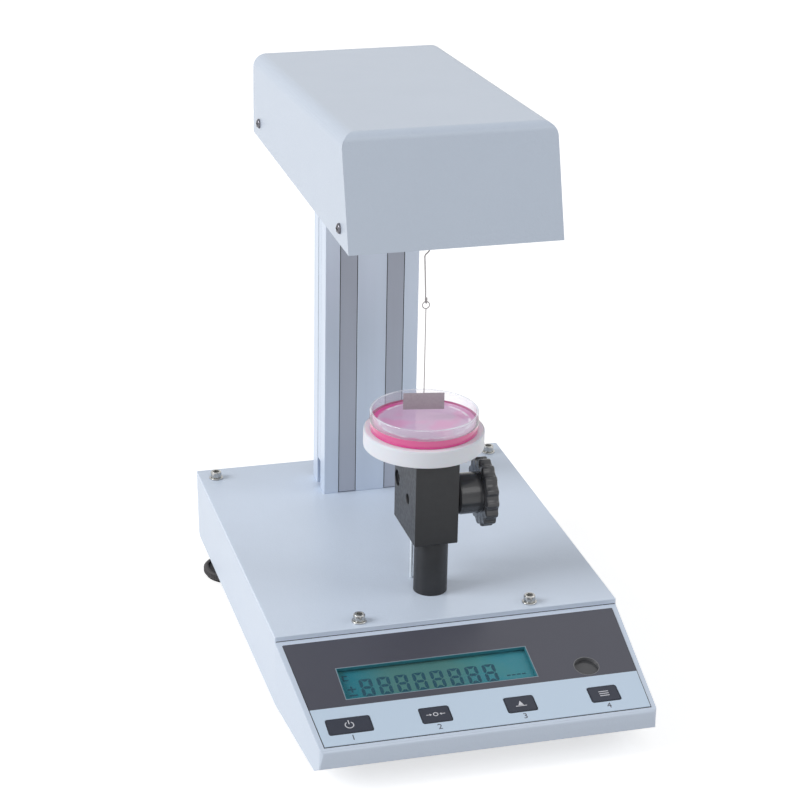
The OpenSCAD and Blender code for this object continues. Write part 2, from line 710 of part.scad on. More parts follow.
module knob() color([0.11, 0.11, 0.12]) on_shaft(knob_x0) difference() {
    union() {
        cylinder(r = knob_hub_r, h = knob_hub_l + 1);
        translate([0, 0, knob_hub_l]) difference() {
            cylinder(r = knob_r, h = knob_disc_t);
            for (k = [0:knob_lobes - 1]) rotate((k + 0.5) * 360 / knob_lobes)
                translate([knob_r + 2.6, 0, -1]) cylinder(r = 4.0, h = 20, $fn = 24);
        }
    }
    translate([0, 0, -1]) cylinder(r = shaft_r, h = knob_hub_l + 1);
    translate([0, 0, grub_x]) rotate([90, 0, 0]) cylinder(r = 2, h = 20);
    translate([0, 0, knob_hub_l + knob_disc_t - 1]) cylinder(r = 11, h = 5);
}

module knob_grub_screw() color(steel) on_shaft(knob_x0 + grub_x) rotate([90, 0, 0])
    translate([0, 0, shaft_r]) difference() {
        cylinder(r = 2, h = 6);
        translate([0, 0, 4]) cylinder(r = 1.1, h = 5, $fn = 6);
    }

module stage_disc() color([0.93, 0.94, 0.96]) at_deck() translate([axis_x, stage_y, stage_z]) difference() {
    union() {
        cylinder(r = stage_r, h = stage_t - 0.6);
        translate([0, 0, stage_t - 0.6]) cylinder(r1 = stage_r, r2 = stage_r - 0.6, h = 0.6);
    }
    translate([0, post_y - stage_y, -1]) cylinder(r = post_r + 0.6, h = 7.4);
    for (s = [-1, 1]) translate([s * stage_screw_x, stage_screw_y - stage_y, -1]) {
        cylinder(r = 1.7, h = 20);
        translate([0, 0, stage_t - stage_screw_sunk + 1]) cylinder(r = stage_screw_head + 0.4, h = 20);
    }
}

module stage_screws() color(steel) at_deck() for (s = [-1, 1])
    translate([axis_x + s * stage_screw_x, stage_screw_y, dish_z - stage_screw_sunk])
        cap_screw(1.5, 14, stage_screw_head, 2.8);

module dish() color([0.85, 0.9, 0.95, 0.4]) at_deck() translate([axis_x, stage_y, dish_z])
    rotate_extrude($fn = 96) polygon(concat(
        [[0, 0], [dish_r - 1, 0]], arc([dish_r - 1, 1], 1, -90, 0, 3),
        [[dish_r, dish_h - 0.5]], arc([dish_r - dish_t / 2, dish_h - dish_t / 2], dish_t / 2, 0, 180, 6),
        [[dish_r - dish_t, dish_t + 1]], [[dish_r - dish_t - 1, dish_t]], [[0, dish_t]]));

module sample_liquid() color([0.93, 0.35, 0.65, 0.7]) at_deck() translate([axis_x, stage_y, dish_z])
    rotate_extrude($fn = 96) polygon([[0, dish_t], [dish_r - dish_t - 1, dish_t],
        [dish_r - dish_t, dish_t + 1], [dish_r - dish_t, liquid_z - dish_z], [0, liquid_z - dish_z]]);

// ---------------------------------------------------------------- head
top_slope = atan((head_front_h - head_rear_h) / (head_rear_y - head_front_y - head_lean));
front_slope = atan(head_lean / head_front_h);
bend_r = 6;
bend_back = bend_r * tan((90 + top_slope - front_slope) / 2);
bend_c = [head_front_y + head_lean + bend_back * cos(top_slope) - bend_r * sin(top_slope),
    head_z + head_front_h - bend_back * sin(top_slope) - bend_r * cos(top_slope)];

// outline of the head seen from its side, t inside its outer faces and reaching drop below its lower edge
function head_side(t, drop) = concat(
    [[head_rear_y - t, head_z - drop],
     [head_rear_y - t, head_z + head_rear_h + t * (tan(top_slope) - 1 / cos(top_slope))]],
    arc(bend_c, bend_r - t, 90 - top_slope, 180 - front_slope, 8),
    [[head_front_y + t / cos(front_slope) - drop * tan(front_slope), head_z - drop]]);

// section of the head square to its top, the top at y = 0
function head_section(t) = let (w = head_w / 2 - t, r = head_fold_r - t) concat(
    [[-w, -120], [w, -120]], arc([w - r, -t - r], r, 0, 90, 8), arc([r - w, -t - r], r, 90, 180, 8));

module head_solid(t, drop = 0) intersection() {
    across(head_w + 2) polygon(head_side(t, drop));
    translate([0, head_front_y + head_lean, head_z + head_front_h]) rotate([90 - top_slope, 0, 0])
        translate([0, 0, -300]) linear_extrude(400) polygon(head_section(t));
}

side_screw_at = [[22.8, 9], [226.8, 10]];
module side_screw_holes(r) for (p = side_screw_at)
    translate([-head_w, p[0], head_z + p[1]]) rotate([0, 90, 0]) cylinder(r = r, h = 2 * head_w);

module head_cover() color(paint) at_deck() difference() {
    head_solid(0);
    head_solid(sheet_t, 1);
    side_screw_holes(1.6);
}

tray_t = 2;
tray_w = head_w - 2 * sheet_t - 2 * gap;
tray_y0 = head_front_y + sheet_t + 1.2;
tray_y1 = head_rear_y - sheet_t - gap;
module head_plate() color(steel) at_deck() difference() {
    union() {
        translate([-tray_w / 2, tray_y0, head_z]) cube([tray_w, tray_y1 - tray_y0, tray_t]);
        for (s = [-1, 1]) translate([s * (tray_w / 2 - 0.75) - 0.75, tray_y0 + 8, head_z])
            cube([1.5, tray_y1 - tray_y0 - 8, 16]);
    }
    translate([hang_x, hang_y, head_z - 1]) cylinder(r = 6, h = 5);
    for (s = [-1, 1]) translate([s * slot_x, column_mid_y, head_z - 1]) cylinder(r = 3.2, h = 5);
    translate([0, column_mid_y, head_z - 1]) cylinder(r = 2.6, h = 5);
    side_screw_holes(1.5);
}

module head_screws() color(steel) at_deck() for (s = [-1, 1], p = side_screw_at)
    translate([s * head_w / 2, p[0], head_z + p[1]]) rotate([0, s * 90, 0]) pan_screw(1.5, 6, 3, 1.9);

module head_board() color(board_green) at_deck()
    translate([head_board_at[0], head_board_at[1], head_z + head_board_h]) {
        cube(head_board_size);
        translate([0, 0, board_t]) boxes(head_chips);
    }

// bending-beam force sensor: its rear end stands on the pedestal, its front end carries the arm
module sensor_pedestal() color(steel) at_deck()
    translate([hang_x - pedestal_size[0] / 2, pedestal_y, head_z + tray_t])
        cube([pedestal_size[0], pedestal_size[1], sensor_z - head_z - tray_t]);

module force_sensor() color([0.80, 0.81, 0.83]) at_deck() difference() {
    translate([hang_x - sensor_w / 2, sensor_y0, sensor_z]) cube([sensor_w, sensor_y1 - sensor_y0, sensor_w]);
    for (y = sensor_hole_y) translate([hang_x - sensor_w, y, sensor_z + sensor_w / 2]) rotate([0, 90, 0])
        cylinder(r = sensor_hole_r, h = 2 * sensor_w);
    translate([hang_x - sensor_w, sensor_hole_y[0], sensor_z + sensor_w / 2 - 2])
        cube([2 * sensor_w, sensor_hole_y[1] - sensor_hole_y[0], 4]);
}

module sensor_arm() color(steel) at_deck()
    translate([hang_x - 5, hang_y - 5, sensor_z + sensor_w]) cube([10, 32, 3]);

// leaves the sensor's arm, passes the head plate's hole, has a sideways bend and ends in an open hook
module hook_wire() color(steel) at_deck() {
    back = hang_y + hook_R;
    wire([[hang_x + 1.8, back, sensor_z + sensor_w], [hang_x + 1.8, back, 203.4],
        [hang_x - 1, back, 200.8], [hang_x, back, 178], [hang_x, back, hook_z]], wire_r);
    translate([hang_x, hang_y, hook_z]) rotate([90, 0, 90]) rotate_extrude(angle = -180)
        translate([hook_R, 0]) circle(r = wire_r, $fn = 24);
    bar([hang_x, hang_y - hook_R, hook_z], [hang_x, hang_y - hook_R, hook_z + 2.4], wire_r);
}

// eye and thin rod that carry the plate; the eye hangs in the hook
module plate_hanger() color(steel) at_deck() translate([hang_x, hang_y, 0]) {
    translate([0, 0, ring_top - ring_R - rod_wire_r]) rotate([90, 0, 0]) rotate_extrude($fn = 48)
        translate([ring_R, 0]) circle(r = rod_wire_r, $fn = 16);
    translate([0, 0, plate_top]) cylinder(r = rod_wire_r, h = ring_top - 2 * ring_R - rod_wire_r - plate_top);
}

module wetting_plate() color([0.60, 0.58, 0.57]) at_deck() translate([hang_x, hang_y, plate_top - plate_h])
    rotate(plate_turn) translate([-plate_w / 2, -plate_t / 2, 0]) cube([plate_w, plate_t, plate_h]);

base_shell();
deck_plate();
deck_screws();
deck_washers();
case_nuts();
bottom_plate();
bottom_screws();
foot_pad(0);  // foot_pad_rear_left
foot_pad(1);  // foot_pad_rear_right
foot_pad(2);  // foot_pad_front_left
foot_pad(3);  // foot_pad_front_right
foot_screw(0);  // foot_screw_rear_left
foot_screw(1);  // foot_screw_rear_right
foot_screw(2);  // foot_screw_front_left
foot_screw(3);  // foot_screw_front_right
front_label();
key_power();
key_tare();
key_cal();
key_mode();
key_switches();
keypad_board();
display_window();
display_glass();
display_board();
board_spacers();
level_vial();
level_cup();
main_board();
board_parts();
power_inlet();
column_foot_plate();
frame_bolts();
column();
slot_covers();
inner_cables();
post();
rack();
guide_rod();
lift_block();
clamp_screw();
shaft_bushes();
pinion_shaft();
pinion_gear();
knob();
knob_grub_screw();
stage_disc();
stage_screws();
dish();
sample_liquid();
head_cover();
head_plate();
head_screws();
head_board();
sensor_pedestal();
force_sensor();
sensor_arm();
hook_wire();
plate_hanger();
wetting_plate();
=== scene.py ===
"""Looks of the surface tensiometer: materials, glass, liquid, wire, display and small fittings around
the CAD model. Metres, +Z up. Lengths are written in millimetres times MM and are placed from the
deck's front edge and top, as the object is built."""
import json
import math

import bmesh
import bpy
from mathutils import Matrix, Vector

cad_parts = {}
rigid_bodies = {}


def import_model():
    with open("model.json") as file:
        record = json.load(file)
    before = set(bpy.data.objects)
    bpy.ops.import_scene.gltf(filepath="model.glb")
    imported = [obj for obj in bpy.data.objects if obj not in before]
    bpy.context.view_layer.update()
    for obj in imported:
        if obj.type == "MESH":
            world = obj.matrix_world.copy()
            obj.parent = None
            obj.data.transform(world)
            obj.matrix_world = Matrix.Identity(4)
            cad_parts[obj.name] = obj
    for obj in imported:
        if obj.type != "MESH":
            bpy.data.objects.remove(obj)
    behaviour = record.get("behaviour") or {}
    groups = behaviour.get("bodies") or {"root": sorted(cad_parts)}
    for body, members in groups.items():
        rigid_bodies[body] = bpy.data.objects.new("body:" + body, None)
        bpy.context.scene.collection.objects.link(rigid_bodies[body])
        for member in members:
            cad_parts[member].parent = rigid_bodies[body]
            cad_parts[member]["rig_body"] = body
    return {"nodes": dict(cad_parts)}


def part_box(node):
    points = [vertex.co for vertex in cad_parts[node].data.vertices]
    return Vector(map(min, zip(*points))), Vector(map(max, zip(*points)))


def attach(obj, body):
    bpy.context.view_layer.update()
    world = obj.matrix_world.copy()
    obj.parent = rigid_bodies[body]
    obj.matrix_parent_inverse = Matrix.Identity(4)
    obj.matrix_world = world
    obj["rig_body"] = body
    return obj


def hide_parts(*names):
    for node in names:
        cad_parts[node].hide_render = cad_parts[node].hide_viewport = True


for left_over in list(bpy.data.objects):
    bpy.data.objects.remove(left_over)

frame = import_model()
bpy.context.view_layer.update()
NODES = frame["nodes"]
BODY_OF = {name: node["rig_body"] for name, node in NODES.items()}
MM = 0.001

# ------------------------------------------------------------------ places
deck_low, deck_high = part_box("deck_plate")
DECK = Vector((0, deck_low.y, deck_high.z))
PANEL_SLOPE = math.radians(14.2)
PANEL_DROP, LIP_REACH = 3.6, 86.8
SHEET_T = 1.5
LABEL_T = 0.5
LABEL_SPLIT = 57.3
DISPLAY_X, DISPLAY_S, DISPLAY_W, DISPLAY_H = -17.8, 39.6, 111.4, 25.0
LEVEL_X, LEVEL_S, LEVEL_R = 68.1, 48.7, 7.2
KEYS = {"key_power": -76.6, "key_tare": -27.6, "key_cal": 21.6, "key_mode": 70.8}
KEY_S, KEY_H = 72.1, 11.8
DECK_SCREWS = [(-92.4, 219.9), (92.4, 219.9), (-51.4, 7.5), (51.4, 7.5)]
AXIS_X, STAGE_Y, DISH_Z = -0.4, 57.8, 94.8
DISH_R, DISH_H, DISH_T, LIQUID_DEPTH, MENISCUS = 31.9, 11.8, 1.5, 4.6, 0.2
COLUMN_Y, COLUMN_W, COLUMN_D = 180, 60, 30
HEAD_W, HEAD_Z = 122, 224
DECK_W = 205


def at_deck(x, y, z):
    """A place by its millimetres from the deck's front edge, centre line and top."""
    return DECK + Vector((x, y, z)) * MM


def on_panel(x, s, w):
    """The frame of a place on the front panel: x across, s down the slope, w out of it."""
    return (Matrix.Translation(at_deck(0, 0, -PANEL_DROP)) @ Matrix.Rotation(PANEL_SLOPE, 4, "X")
            @ Matrix.Translation(Vector((x, -s, w)) * MM))


# ------------------------------------------------------------------ materials
PAINT = (0.580, 0.658, 0.778)
EXTRUSION = (0.640, 0.720, 0.845)
# the mix node's colour sockets
MIX_A, MIX_B, MIX_RESULT = 6, 7, 2


def new_material(name, color, roughness, metallic=0.0, **sockets):
    material = bpy.data.materials.new(name)
    material.use_nodes = True
    shader = material.node_tree.nodes["Principled BSDF"]
    shader.inputs["Base Color"].default_value = (*color, 1)
    shader.inputs["Roughness"].default_value = roughness
    shader.inputs["Metallic"].default_value = metallic
    for socket, value in sockets.items():
        shader.inputs[socket.replace("_", " ")].default_value = value
    return material


def add(material, kind, **values):
    """A new node in a material, with its properties or sockets set."""
    node = material.node_tree.nodes.new(kind)
    for name, value in values.items():
        if name in node.inputs:
            node.inputs[name].default_value = value
        else:
            setattr(node, name, value)
    return node


def link(material, source, target):
    material.node_tree.links.new(source, target)


def shader_of(material):
    return material.node_tree.nodes["Principled BSDF"]


def noise(material, size, detail=3, stretch=(1, 1, 1)):
    """Noise in object space with spots of about size millimetres, longer where stretch is below 1."""
    place = add(material, "ShaderNodeTexCoord")
    mapping = add(material, "ShaderNodeMapping")
    mapping.inputs["Scale"].default_value = stretch
    texture = add(material, "ShaderNodeTexNoise", Scale=1 / (size * MM), Detail=detail)
    link(material, place.outputs["Object"], mapping.inputs["Vector"])
    link(material, mapping.outputs["Vector"], texture.inputs["Vector"])
    return texture.outputs["Fac"]


def step(material, value, start, end, low=0.0, high=1.0):
    """A smooth step of a value from low at start to high at end."""
    scale = add(material, "ShaderNodeMapRange", interpolation_type="SMOOTHSTEP")
    scale.inputs["From Min"].default_value = start
    scale.inputs["From Max"].default_value = end
    scale.inputs["To Min"].default_value = low
    scale.inputs["To Max"].default_value = high
    link(material, value, scale.inputs["Value"])
    return scale.outputs["Result"]


def math_node(material, operation, first, second):
    """An arithmetic node; second may be a number."""
    node = add(material, "ShaderNodeMath", operation=operation)
    link(material, first, node.inputs[0])
    if isinstance(second, float):
        node.inputs[1].default_value = second
    else:
        link(material, second, node.inputs[1])
    return node.outputs[0]


def vary_color(material, color, spread, size, stretch):
    """Cloudy variation of the colour, spread as a share of it."""
    ramp = add(material, "ShaderNodeValToRGB")
    ramp.color_ramp.interpolation = "EASE"
    dark, pale = ramp.color_ramp.elements
    dark.position = 0.2
    pale.position = 0.8
    dark.color = (*[c * (1 - spread) for c in color], 1)
    pale.color = (*[min(1, c * (1 + spread)) for c in color], 1)
    link(material, noise(material, size, stretch=stretch), ramp.inputs["Fac"])
    link(material, ramp.outputs["Color"], shader_of(material).inputs["Base Color"])


def vary_roughness(material, low, high, size, stretch):
    """Cloudy variation of the roughness from low to high."""
    rough = step(material, noise(material, size, stretch=stretch), 0.3, 0.7, low, high)
    link(material, rough, shader_of(material).inputs["Roughness"])


def add_bump(material, size, depth, stretch):
    """Relief whose spots are about size and whose depth is depth, in millimetres."""
    bump = add(material, "ShaderNodeBump")
    bump.inputs["Strength"].default_value = 1
    bump.inputs["Distance"].default_value = depth * MM
    link(material, noise(material, size, 2, stretch), bump.inputs["Height"])
    normal = shader_of(material).inputs["Normal"]
    if normal.is_linked:
        link(material, normal.links[0].from_socket, bump.inputs["Normal"])
    link(material, bump.outputs["Normal"], normal)


def coated(name, color, roughness, spread=0.02, cloud=25, relief=(), metallic=0.0, grain=(1, 1, 1),
           gloss_spread=0.12, **sockets):
    """A solid finish with clouds of colour and gloss and any number of reliefs, each (size, depth)."""
    material = new_material(name, color, roughness, metallic, **sockets)
    vary_color(material, color, spread, cloud, grain)
    low, high = roughness * (1 - gloss_spread), roughness * (1 + gloss_spread)
    vary_roughness(material, low, high, cloud / 3, grain)
    for size, depth in relief:
        add_bump(material, size, depth, grain)
    return material


def mix_color(material, share, color):
    """Blends the shader's colour towards another one by a socket's value."""
    mix = add(material, "ShaderNodeMix", data_type="RGBA")
    base = shader_of(material).inputs["Base Color"]
    link(material, base.links[0].from_socket, mix.inputs[MIX_A])
    mix.inputs[MIX_B].default_value = (*color, 1)
    link(material, share, mix.inputs["Factor"])
    link(material, mix.outputs[MIX_RESULT], base)


def label_film():
    """Printed film: dark above the split and pale below it, with one satin gloss."""
    dark, pale = (0.075, 0.077, 0.100), (0.540, 0.655, 0.790)
    material = coated("label_film", dark, 0.30, 0.03, 60, [(0.5, 0.002)],
                      gloss_spread=0.03, Specular_IOR_Level=0.38)
    place = add(material, "ShaderNodeTexCoord")
    along = add(material, "ShaderNodeVectorMath", operation="DOT_PRODUCT")
    along.inputs[1].default_value = (0, -math.cos(PANEL_SLOPE), -math.sin(PANEL_SLOPE))
    link(material, place.outputs["Object"], along.inputs[0])
    top = at_deck(0, 0, -PANEL_DROP)
    below = add(material, "ShaderNodeMath", operation="GREATER_THAN")
    below.inputs[1].default_value = top.dot(Vector(along.inputs[1].default_value)) + LABEL_SPLIT * MM
    link(material, along.outputs["Value"], below.inputs[0])
    mix_color(material, below.outputs["Value"], pale)
    return material


def facing_range(material, blend, low, high):
    """A value that runs from low, seen face on, to high, seen edge on."""
    weight = add(material, "ShaderNodeLayerWeight", Blend=blend)
    scale = add(material, "ShaderNodeMapRange")
    scale.inputs["To Min"].default_value = low
    scale.inputs["To Max"].default_value = high
    link(material, weight.outputs["Facing"], scale.inputs["Value"])
    return scale.outputs["Result"]


def split_axis(material, axis):
    """One coordinate of the shaded point, in metres."""
    place = add(material, "ShaderNodeTexCoord")
    split = add(material, "ShaderNodeSeparateXYZ")
    link(material, place.outputs["Object"], split.inputs[0])
    return split.outputs[axis]


def height_above(material, level):
    """Height of the shaded point above a level, in metres."""
    return math_node(material, "SUBTRACT", split_axis(material, "Z"), level)


def from_axis(material, axis):
    """Distance of the shaded point from an upright axis, in metres."""
    place = add(material, "ShaderNodeTexCoord")
    flat = add(material, "ShaderNodeVectorMath", operation="MULTIPLY_ADD")
    flat.inputs[1].default_value = (1, 1, 0)
    flat.inputs[2].default_value = (-axis.x, -axis.y, 0)
    link(material, place.outputs["Object"], flat.inputs[0])
    radius = add(material, "ShaderNodeVectorMath", operation="LENGTH")
    link(material, flat.outputs["Vector"], radius.inputs[0])
    return radius.outputs["Value"]


def window_clear():
    """Clear acrylic, almost unseen."""
    material = new_material("window_clear", (0.30, 0.40, 0.42), 0.10, Specular_IOR_Level=0.25)
    link(material, facing_range(material, 0.3, 0.01, 0.12), shader_of(material).inputs["Alpha"])
    return material


def dish_glass():
    """Pressed glass: clear face on, milky edge on, darker along its silhouette above the liquid as
    painted shade, with a painted highlight along the rim, dyed where it is wet.
    """
    shaded, dye = (0.16, 0.15, 0.20), (0.700, 0.034, 0.255)
    material = coated("dish_glass", (0.80, 0.84, 0.93), 0.05, 0.03, 14, gloss_spread=0.0,
                      Specular_IOR_Level=0.8, Coat_Weight=0.7, Coat_Roughness=0.03)
    height = height_above(material, at_deck(0, 0, DISH_Z).z)
    above = step(material, height, (LIQUID_DEPTH + 1.5) * MM, (LIQUID_DEPTH + 3.5) * MM)
    # painted shade: the glass turns dark towards its silhouette above the liquid
    painted_edge_shade = math_node(material, "MULTIPLY", facing_range(material, 0.5, -3.6, 1.0), above)
    mix_color(material, painted_edge_shade, shaded)
    radius = from_axis(material, at_deck(AXIS_X, STAGE_Y, 0))
    outside = step(material, radius, (DISH_R - 0.9) * MM, (DISH_R - 0.5) * MM)
    wet = step(material, height, (LIQUID_DEPTH + 0.9) * MM, (LIQUID_DEPTH + 0.5) * MM)
    dyed = math_node(material, "MULTIPLY", wet, outside)
    mix_color(material, dyed, dye)
    clear = facing_range(material, 0.35, 0.12, 0.62)
    # painted highlight: paler, more solid glass in patches along the rim
    rim = step(material, height, (DISH_H - 0.7) * MM, (DISH_H - 0.2) * MM)
    painted_rim_highlight = step(material, noise(material, 16, 1), 0.38, 0.64, 0.14, 0.50)
    solid = math_node(material, "ADD", clear, math_node(material, "MULTIPLY", rim, painted_rim_highlight))
    solid = math_node(material, "ADD", solid, math_node(material, "MULTIPLY", dyed, 0.85))
    link(material, math_node(material, "MINIMUM", solid, 1.0), shader_of(material).inputs["Alpha"])
    return material


def dyed_liquid():
    """Dyed water in a shallow dish: pale over the white stage, deep along the wall, with a painted
    highlight in streaks on a ring near the wall.
    """
    pale, pinker = (0.625, 0.425, 0.625), (0.760, 0.300, 0.560)
    deep, painted_glint = (0.740, 0.070, 0.340), (0.860, 0.740, 0.880)
    material = coated("pink_liquid", pale, 0.06, 0.02, 22, [(9, 0.03)], gloss_spread=0.0)
    mix_color(material, step(material, noise(material, 16, 1), 0.50, 0.72, 0.0, 0.55), pinker)
    radius = from_axis(material, at_deck(AXIS_X, STAGE_Y, 0))
    inner = DISH_R - DISH_T
    # painted highlight: pale streaks on a ring about 3 to 5 mm in from the wall
    streaks = step(material, noise(material, 6, 2), 0.40, 0.62)
    rises = step(material, radius, (inner - 5.4) * MM, (inner - 3.9) * MM)
    falls = step(material, radius, (inner - 2.6) * MM, (inner - 3.6) * MM)
    bright = math_node(material, "MULTIPLY", rises, falls)
    bright = math_node(material, "MULTIPLY", bright, streaks)
    # the deep band's edge wanders by 3 mm and is stronger on the left
    wander = 3 * MM
    wavy = math_node(material, "MULTIPLY_ADD", noise(material, 7, 2), 2 * wander)
    wavy.node.inputs[2].default_value = -wander
    ragged = math_node(material, "ADD", radius, wavy)
    edge = step(material, ragged, (inner - 4.4) * MM, (inner - 2.0) * MM)
    left = step(material, split_axis(material, "X"), (AXIS_X + 4) * MM, (AXIS_X - 14) * MM, 0.25, 1.0)
    mix_color(material, math_node(material, "MULTIPLY", edge, left), deep)
    mix_color(material, bright, painted_glint)
    return material


def display_teal():
    """Reflective display glass: deep teal and greener in clouds; paler towards its right end and
    greener left of the middle, which is painted reflection.
    """
    deep, green = (0.014, 0.190, 0.250), (0.060, 0.230, 0.185)
    pale, painted_reflection_green = (0.045, 0.260, 0.320), (0.082, 0.205, 0.180)
    material = coated("display_teal", deep, 0.30, 0.06, 45, gloss_spread=0.0, Specular_IOR_Level=0.2)
    mix_color(material, step(material, noise(material, 30, 1), 0.42, 0.62, 0.0, 0.80), green)
    # painted reflection: paler towards the right end, and greener in a patch left of the middle
    across = split_axis(material, "X")
    mix_color(material, step(material, across, -30 * MM, 45 * MM, 0.0, 0.8), pale)
    starts = step(material, across, -68 * MM, -40 * MM, 0.0, 0.75)
    ends = step(material, across, 14 * MM, -16 * MM)
    mix_color(material, math_node(material, "MULTIPLY", starts, ends), painted_reflection_green)
    return material


def circuit_green():
    """Solder mask with lighter tracks under it."""
    material = coated("circuit_green", (0.020, 0.120, 0.055), 0.3, 0.1, 8)
    bricks = add(material, "ShaderNodeTexBrick")
    bricks.inputs["Scale"].default_value = 1 / (9 * MM)
    bricks.inputs["Mortar Size"].default_value = 0.03
    bricks.inputs["Color1"].default_value = (0.018, 0.110, 0.050, 1)
    bricks.inputs["Color2"].default_value = (0.022, 0.130, 0.060, 1)
    bricks.inputs["Mortar"].default_value = (0.060, 0.260, 0.120, 1)
    place = add(material, "ShaderNodeTexCoord")
    link(material, place.outputs["Object"], bricks.inputs["Vector"])
    link(material, bricks.outputs["Color"], shader_of(material).inputs["Base Color"])
    return material


def strip_grey():
    """The strips in the column's front and rear slots are grey, those in its sides match the metal."""
    material = coated("strip_grey", (0.445, 0.480, 0.565), 0.45, 0.03, 8, [(0.6, 0.006)],
                      grain=(1, 1, 0.05))
    off_middle = math_node(material, "ABSOLUTE", split_axis(material, "X"), 0.0)
    side_strips = step(material, off_middle, (COLUMN_W / 2 - 5) * MM, (COLUMN_W / 2 - 4) * MM)
    mix_color(material, side_strips, EXTRUSION)
    return material


def painted(name, shade):
    """Powder coat with a fine orange peel, shade times the usual grey."""
    color = [channel * shade for channel in PAINT]
    return coated(name, color, 0.33, 0.008, 40, [(1.8, 0.070), (0.9, 0.040)], gloss_spread=0.02)


METAL = {"metallic": 1.0}
# colour, roughness, spread of the colour, size of its clouds, relief as (size, depth), further values
FINISHES = {
    "extrusion": (EXTRUSION, 0.36, 0.02, 6, (0.5, 0.004), {"metallic": 0.2, "grain": (1, 1, 0.02)}),
    "bright_steel": ((0.47, 0.47, 0.46), 0.24, 0.06, 3, (0.4, 0.004), METAL),
    "ground_steel": ((0.74, 0.74, 0.76), 0.16, 0.03, 3, (0.3, 0.001), METAL),
    "screw_steel": ((0.15, 0.15, 0.17), 0.22, 0.08, 2, (0.4, 0.004), METAL),
    "wire_steel": ((0.300, 0.280, 0.290), 0.30, 0.05, 3, (0.3, 0.001), {"metallic": 0.6}),
    # painted reflection: pale bluish and mostly matt, for the rod's bright look
    "rod_steel_painted_sheen": ((0.80, 0.87, 0.93), 0.30, 0.03, 5, (0.3, 0.002), {"metallic": 0.2}),
    "plated_sheet": ((0.66, 0.65, 0.60), 0.30, 0.08, 10, (0.8, 0.005), METAL),
    "sensor_alloy": ((0.80, 0.81, 0.83), 0.28, 0.04, 5, (0.4, 0.003), METAL),
    "bronze": ((0.62, 0.42, 0.20), 0.30, 0.08, 4, (0.4, 0.003), METAL),
    "plate_platinum": ((0.375, 0.345, 0.370), 0.50, 0.06, 1.5, (0.3, 0.012), {"metallic": 0.7}),
    "black_anodised": ((0.019, 0.020, 0.023), 0.40, 0.10, 7, (0.35, 0.004),
                       {"Specular_IOR_Level": 0.44}),
    "black_steel": ((0.045, 0.045, 0.048), 0.32, 0.10, 4, (0.5, 0.004), {"metallic": 0.3}),
    "black_plastic": ((0.056, 0.057, 0.063), 0.20, 0.08, 8, (0.5, 0.004), {}),
    "foot_rubber": ((0.028, 0.027, 0.027), 0.75, 0.15, 5, (0.6, 0.03), {}),
    "foot_plastic": ((0.045, 0.042, 0.045), 0.50, 0.20, 2.0, (1.2, 0.05), {}),
    "key_plastic": ((0.040, 0.045, 0.064), 0.42, 0.04, 6, (0.4, 0.006), {"Specular_IOR_Level": 0.28}),
    "component_black": ((0.035, 0.035, 0.038), 0.5, 0.1, 4, (0.4, 0.008), {}),
    "cable_grey": ((0.16, 0.16, 0.17), 0.5, 0.06, 6, (0.8, 0.01), {}),
    "white_plastic": ((0.770, 0.790, 0.850), 0.42, 0.01, 20, (0.6, 0.004),
                      {"Subsurface_Weight": 0.15, "Subsurface_Scale": 0.002}),
    "legend_pale": ((0.62, 0.63, 0.68), 0.45, 0.03, 2, None, {}),
    "print_dark": ((0.060, 0.062, 0.085), 0.40, 0.05, 2, None, {}),
    "print_border": ((0.240, 0.290, 0.345), 0.40, 0.05, 3, None, {}),
    "display_segment": ((0.010, 0.070, 0.110), 0.45, 0.06, 3, None, {"Specular_IOR_Level": 0.2}),
    "display_edge": ((0.026, 0.170, 0.215), 0.60, 0.10, 3, (0.4, 0.01), {}),
    "shadow_and_print_black": ((0.020, 0.021, 0.026), 0.8, 0.1, 4, None, {}),
    "level_fluid": ((0.050, 0.050, 0.050), 0.14, 0.10, 4, None, {"Specular_IOR_Level": 0.3}),
    "level_rim": ((0.46, 0.46, 0.45), 0.35, 0.08, 4, None, {"Specular_IOR_Level": 0.4}),
    "level_lip": ((0.190, 0.195, 0.205), 0.30, 0.10, 4, None, {}),
    "level_sleeve": ((0.110, 0.112, 0.120), 0.25, 0.08, 4, (0.4, 0.004), {}),
}
MATERIALS = {
    "grey_paint": painted("grey_paint", 1.0),
    "strip_grey": strip_grey(),
    "label_film": label_film(),
    "window_clear": window_clear(),
    "display_teal": display_teal(),
    "circuit_green": circuit_green(),
    "dish_glass": dish_glass(),
    "pink_liquid": dyed_liquid(),
}
for finish, (color, roughness, spread, cloud, relief, more) in FINISHES.items():
    reliefs = [relief] if relief else []
    MATERIALS[finish] = coated(finish, color, roughness, spread, cloud, reliefs, **more)

SLOT_OF = {name: node.data.materials[0].name.split(".")[0] for name, node in NODES.items()}
for node_name, node in NODES.items():
    node.data.materials[0] = MATERIALS[SLOT_OF[node_name]]
# painted reflection: the guide rod's pale bluish, mostly matt steel stands in for the shine of its
# bright reflections
NODES["guide_rod"].data.materials[0] = MATERIALS["rod_steel_painted_sheen"]
# painted light and shade: the head gets a darker and the deck a lighter copy of the grey paint, since
# the head's top catches more of the lamps than in the photograph and the deck less
NODES["head_cover"].data.materials[0] = painted("head_paint_painted_shade", 0.89)
NODES["deck_plate"].data.materials[0] = painted("deck_paint_painted_light", 1.07)


# ------------------------------------------------------------------ making pieces
def new_piece(name, mesh, body, material=None, smooth_below=35):
    """An object of that mesh, shaded smooth over edges flatter than the angle, riding on a body."""
    piece = bpy.data.objects.new(name, mesh)
    bpy.context.scene.collection.objects.link(piece)
    if material is not None:
        mesh.materials.clear()
        mesh.materials.append(material)
    if smooth_below:
        mesh.polygons.foreach_set("use_smooth", [True] * len(mesh.polygons))
        mesh.set_sharp_from_angle(angle=math.radians(smooth_below))
    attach(piece, body)
    return piece


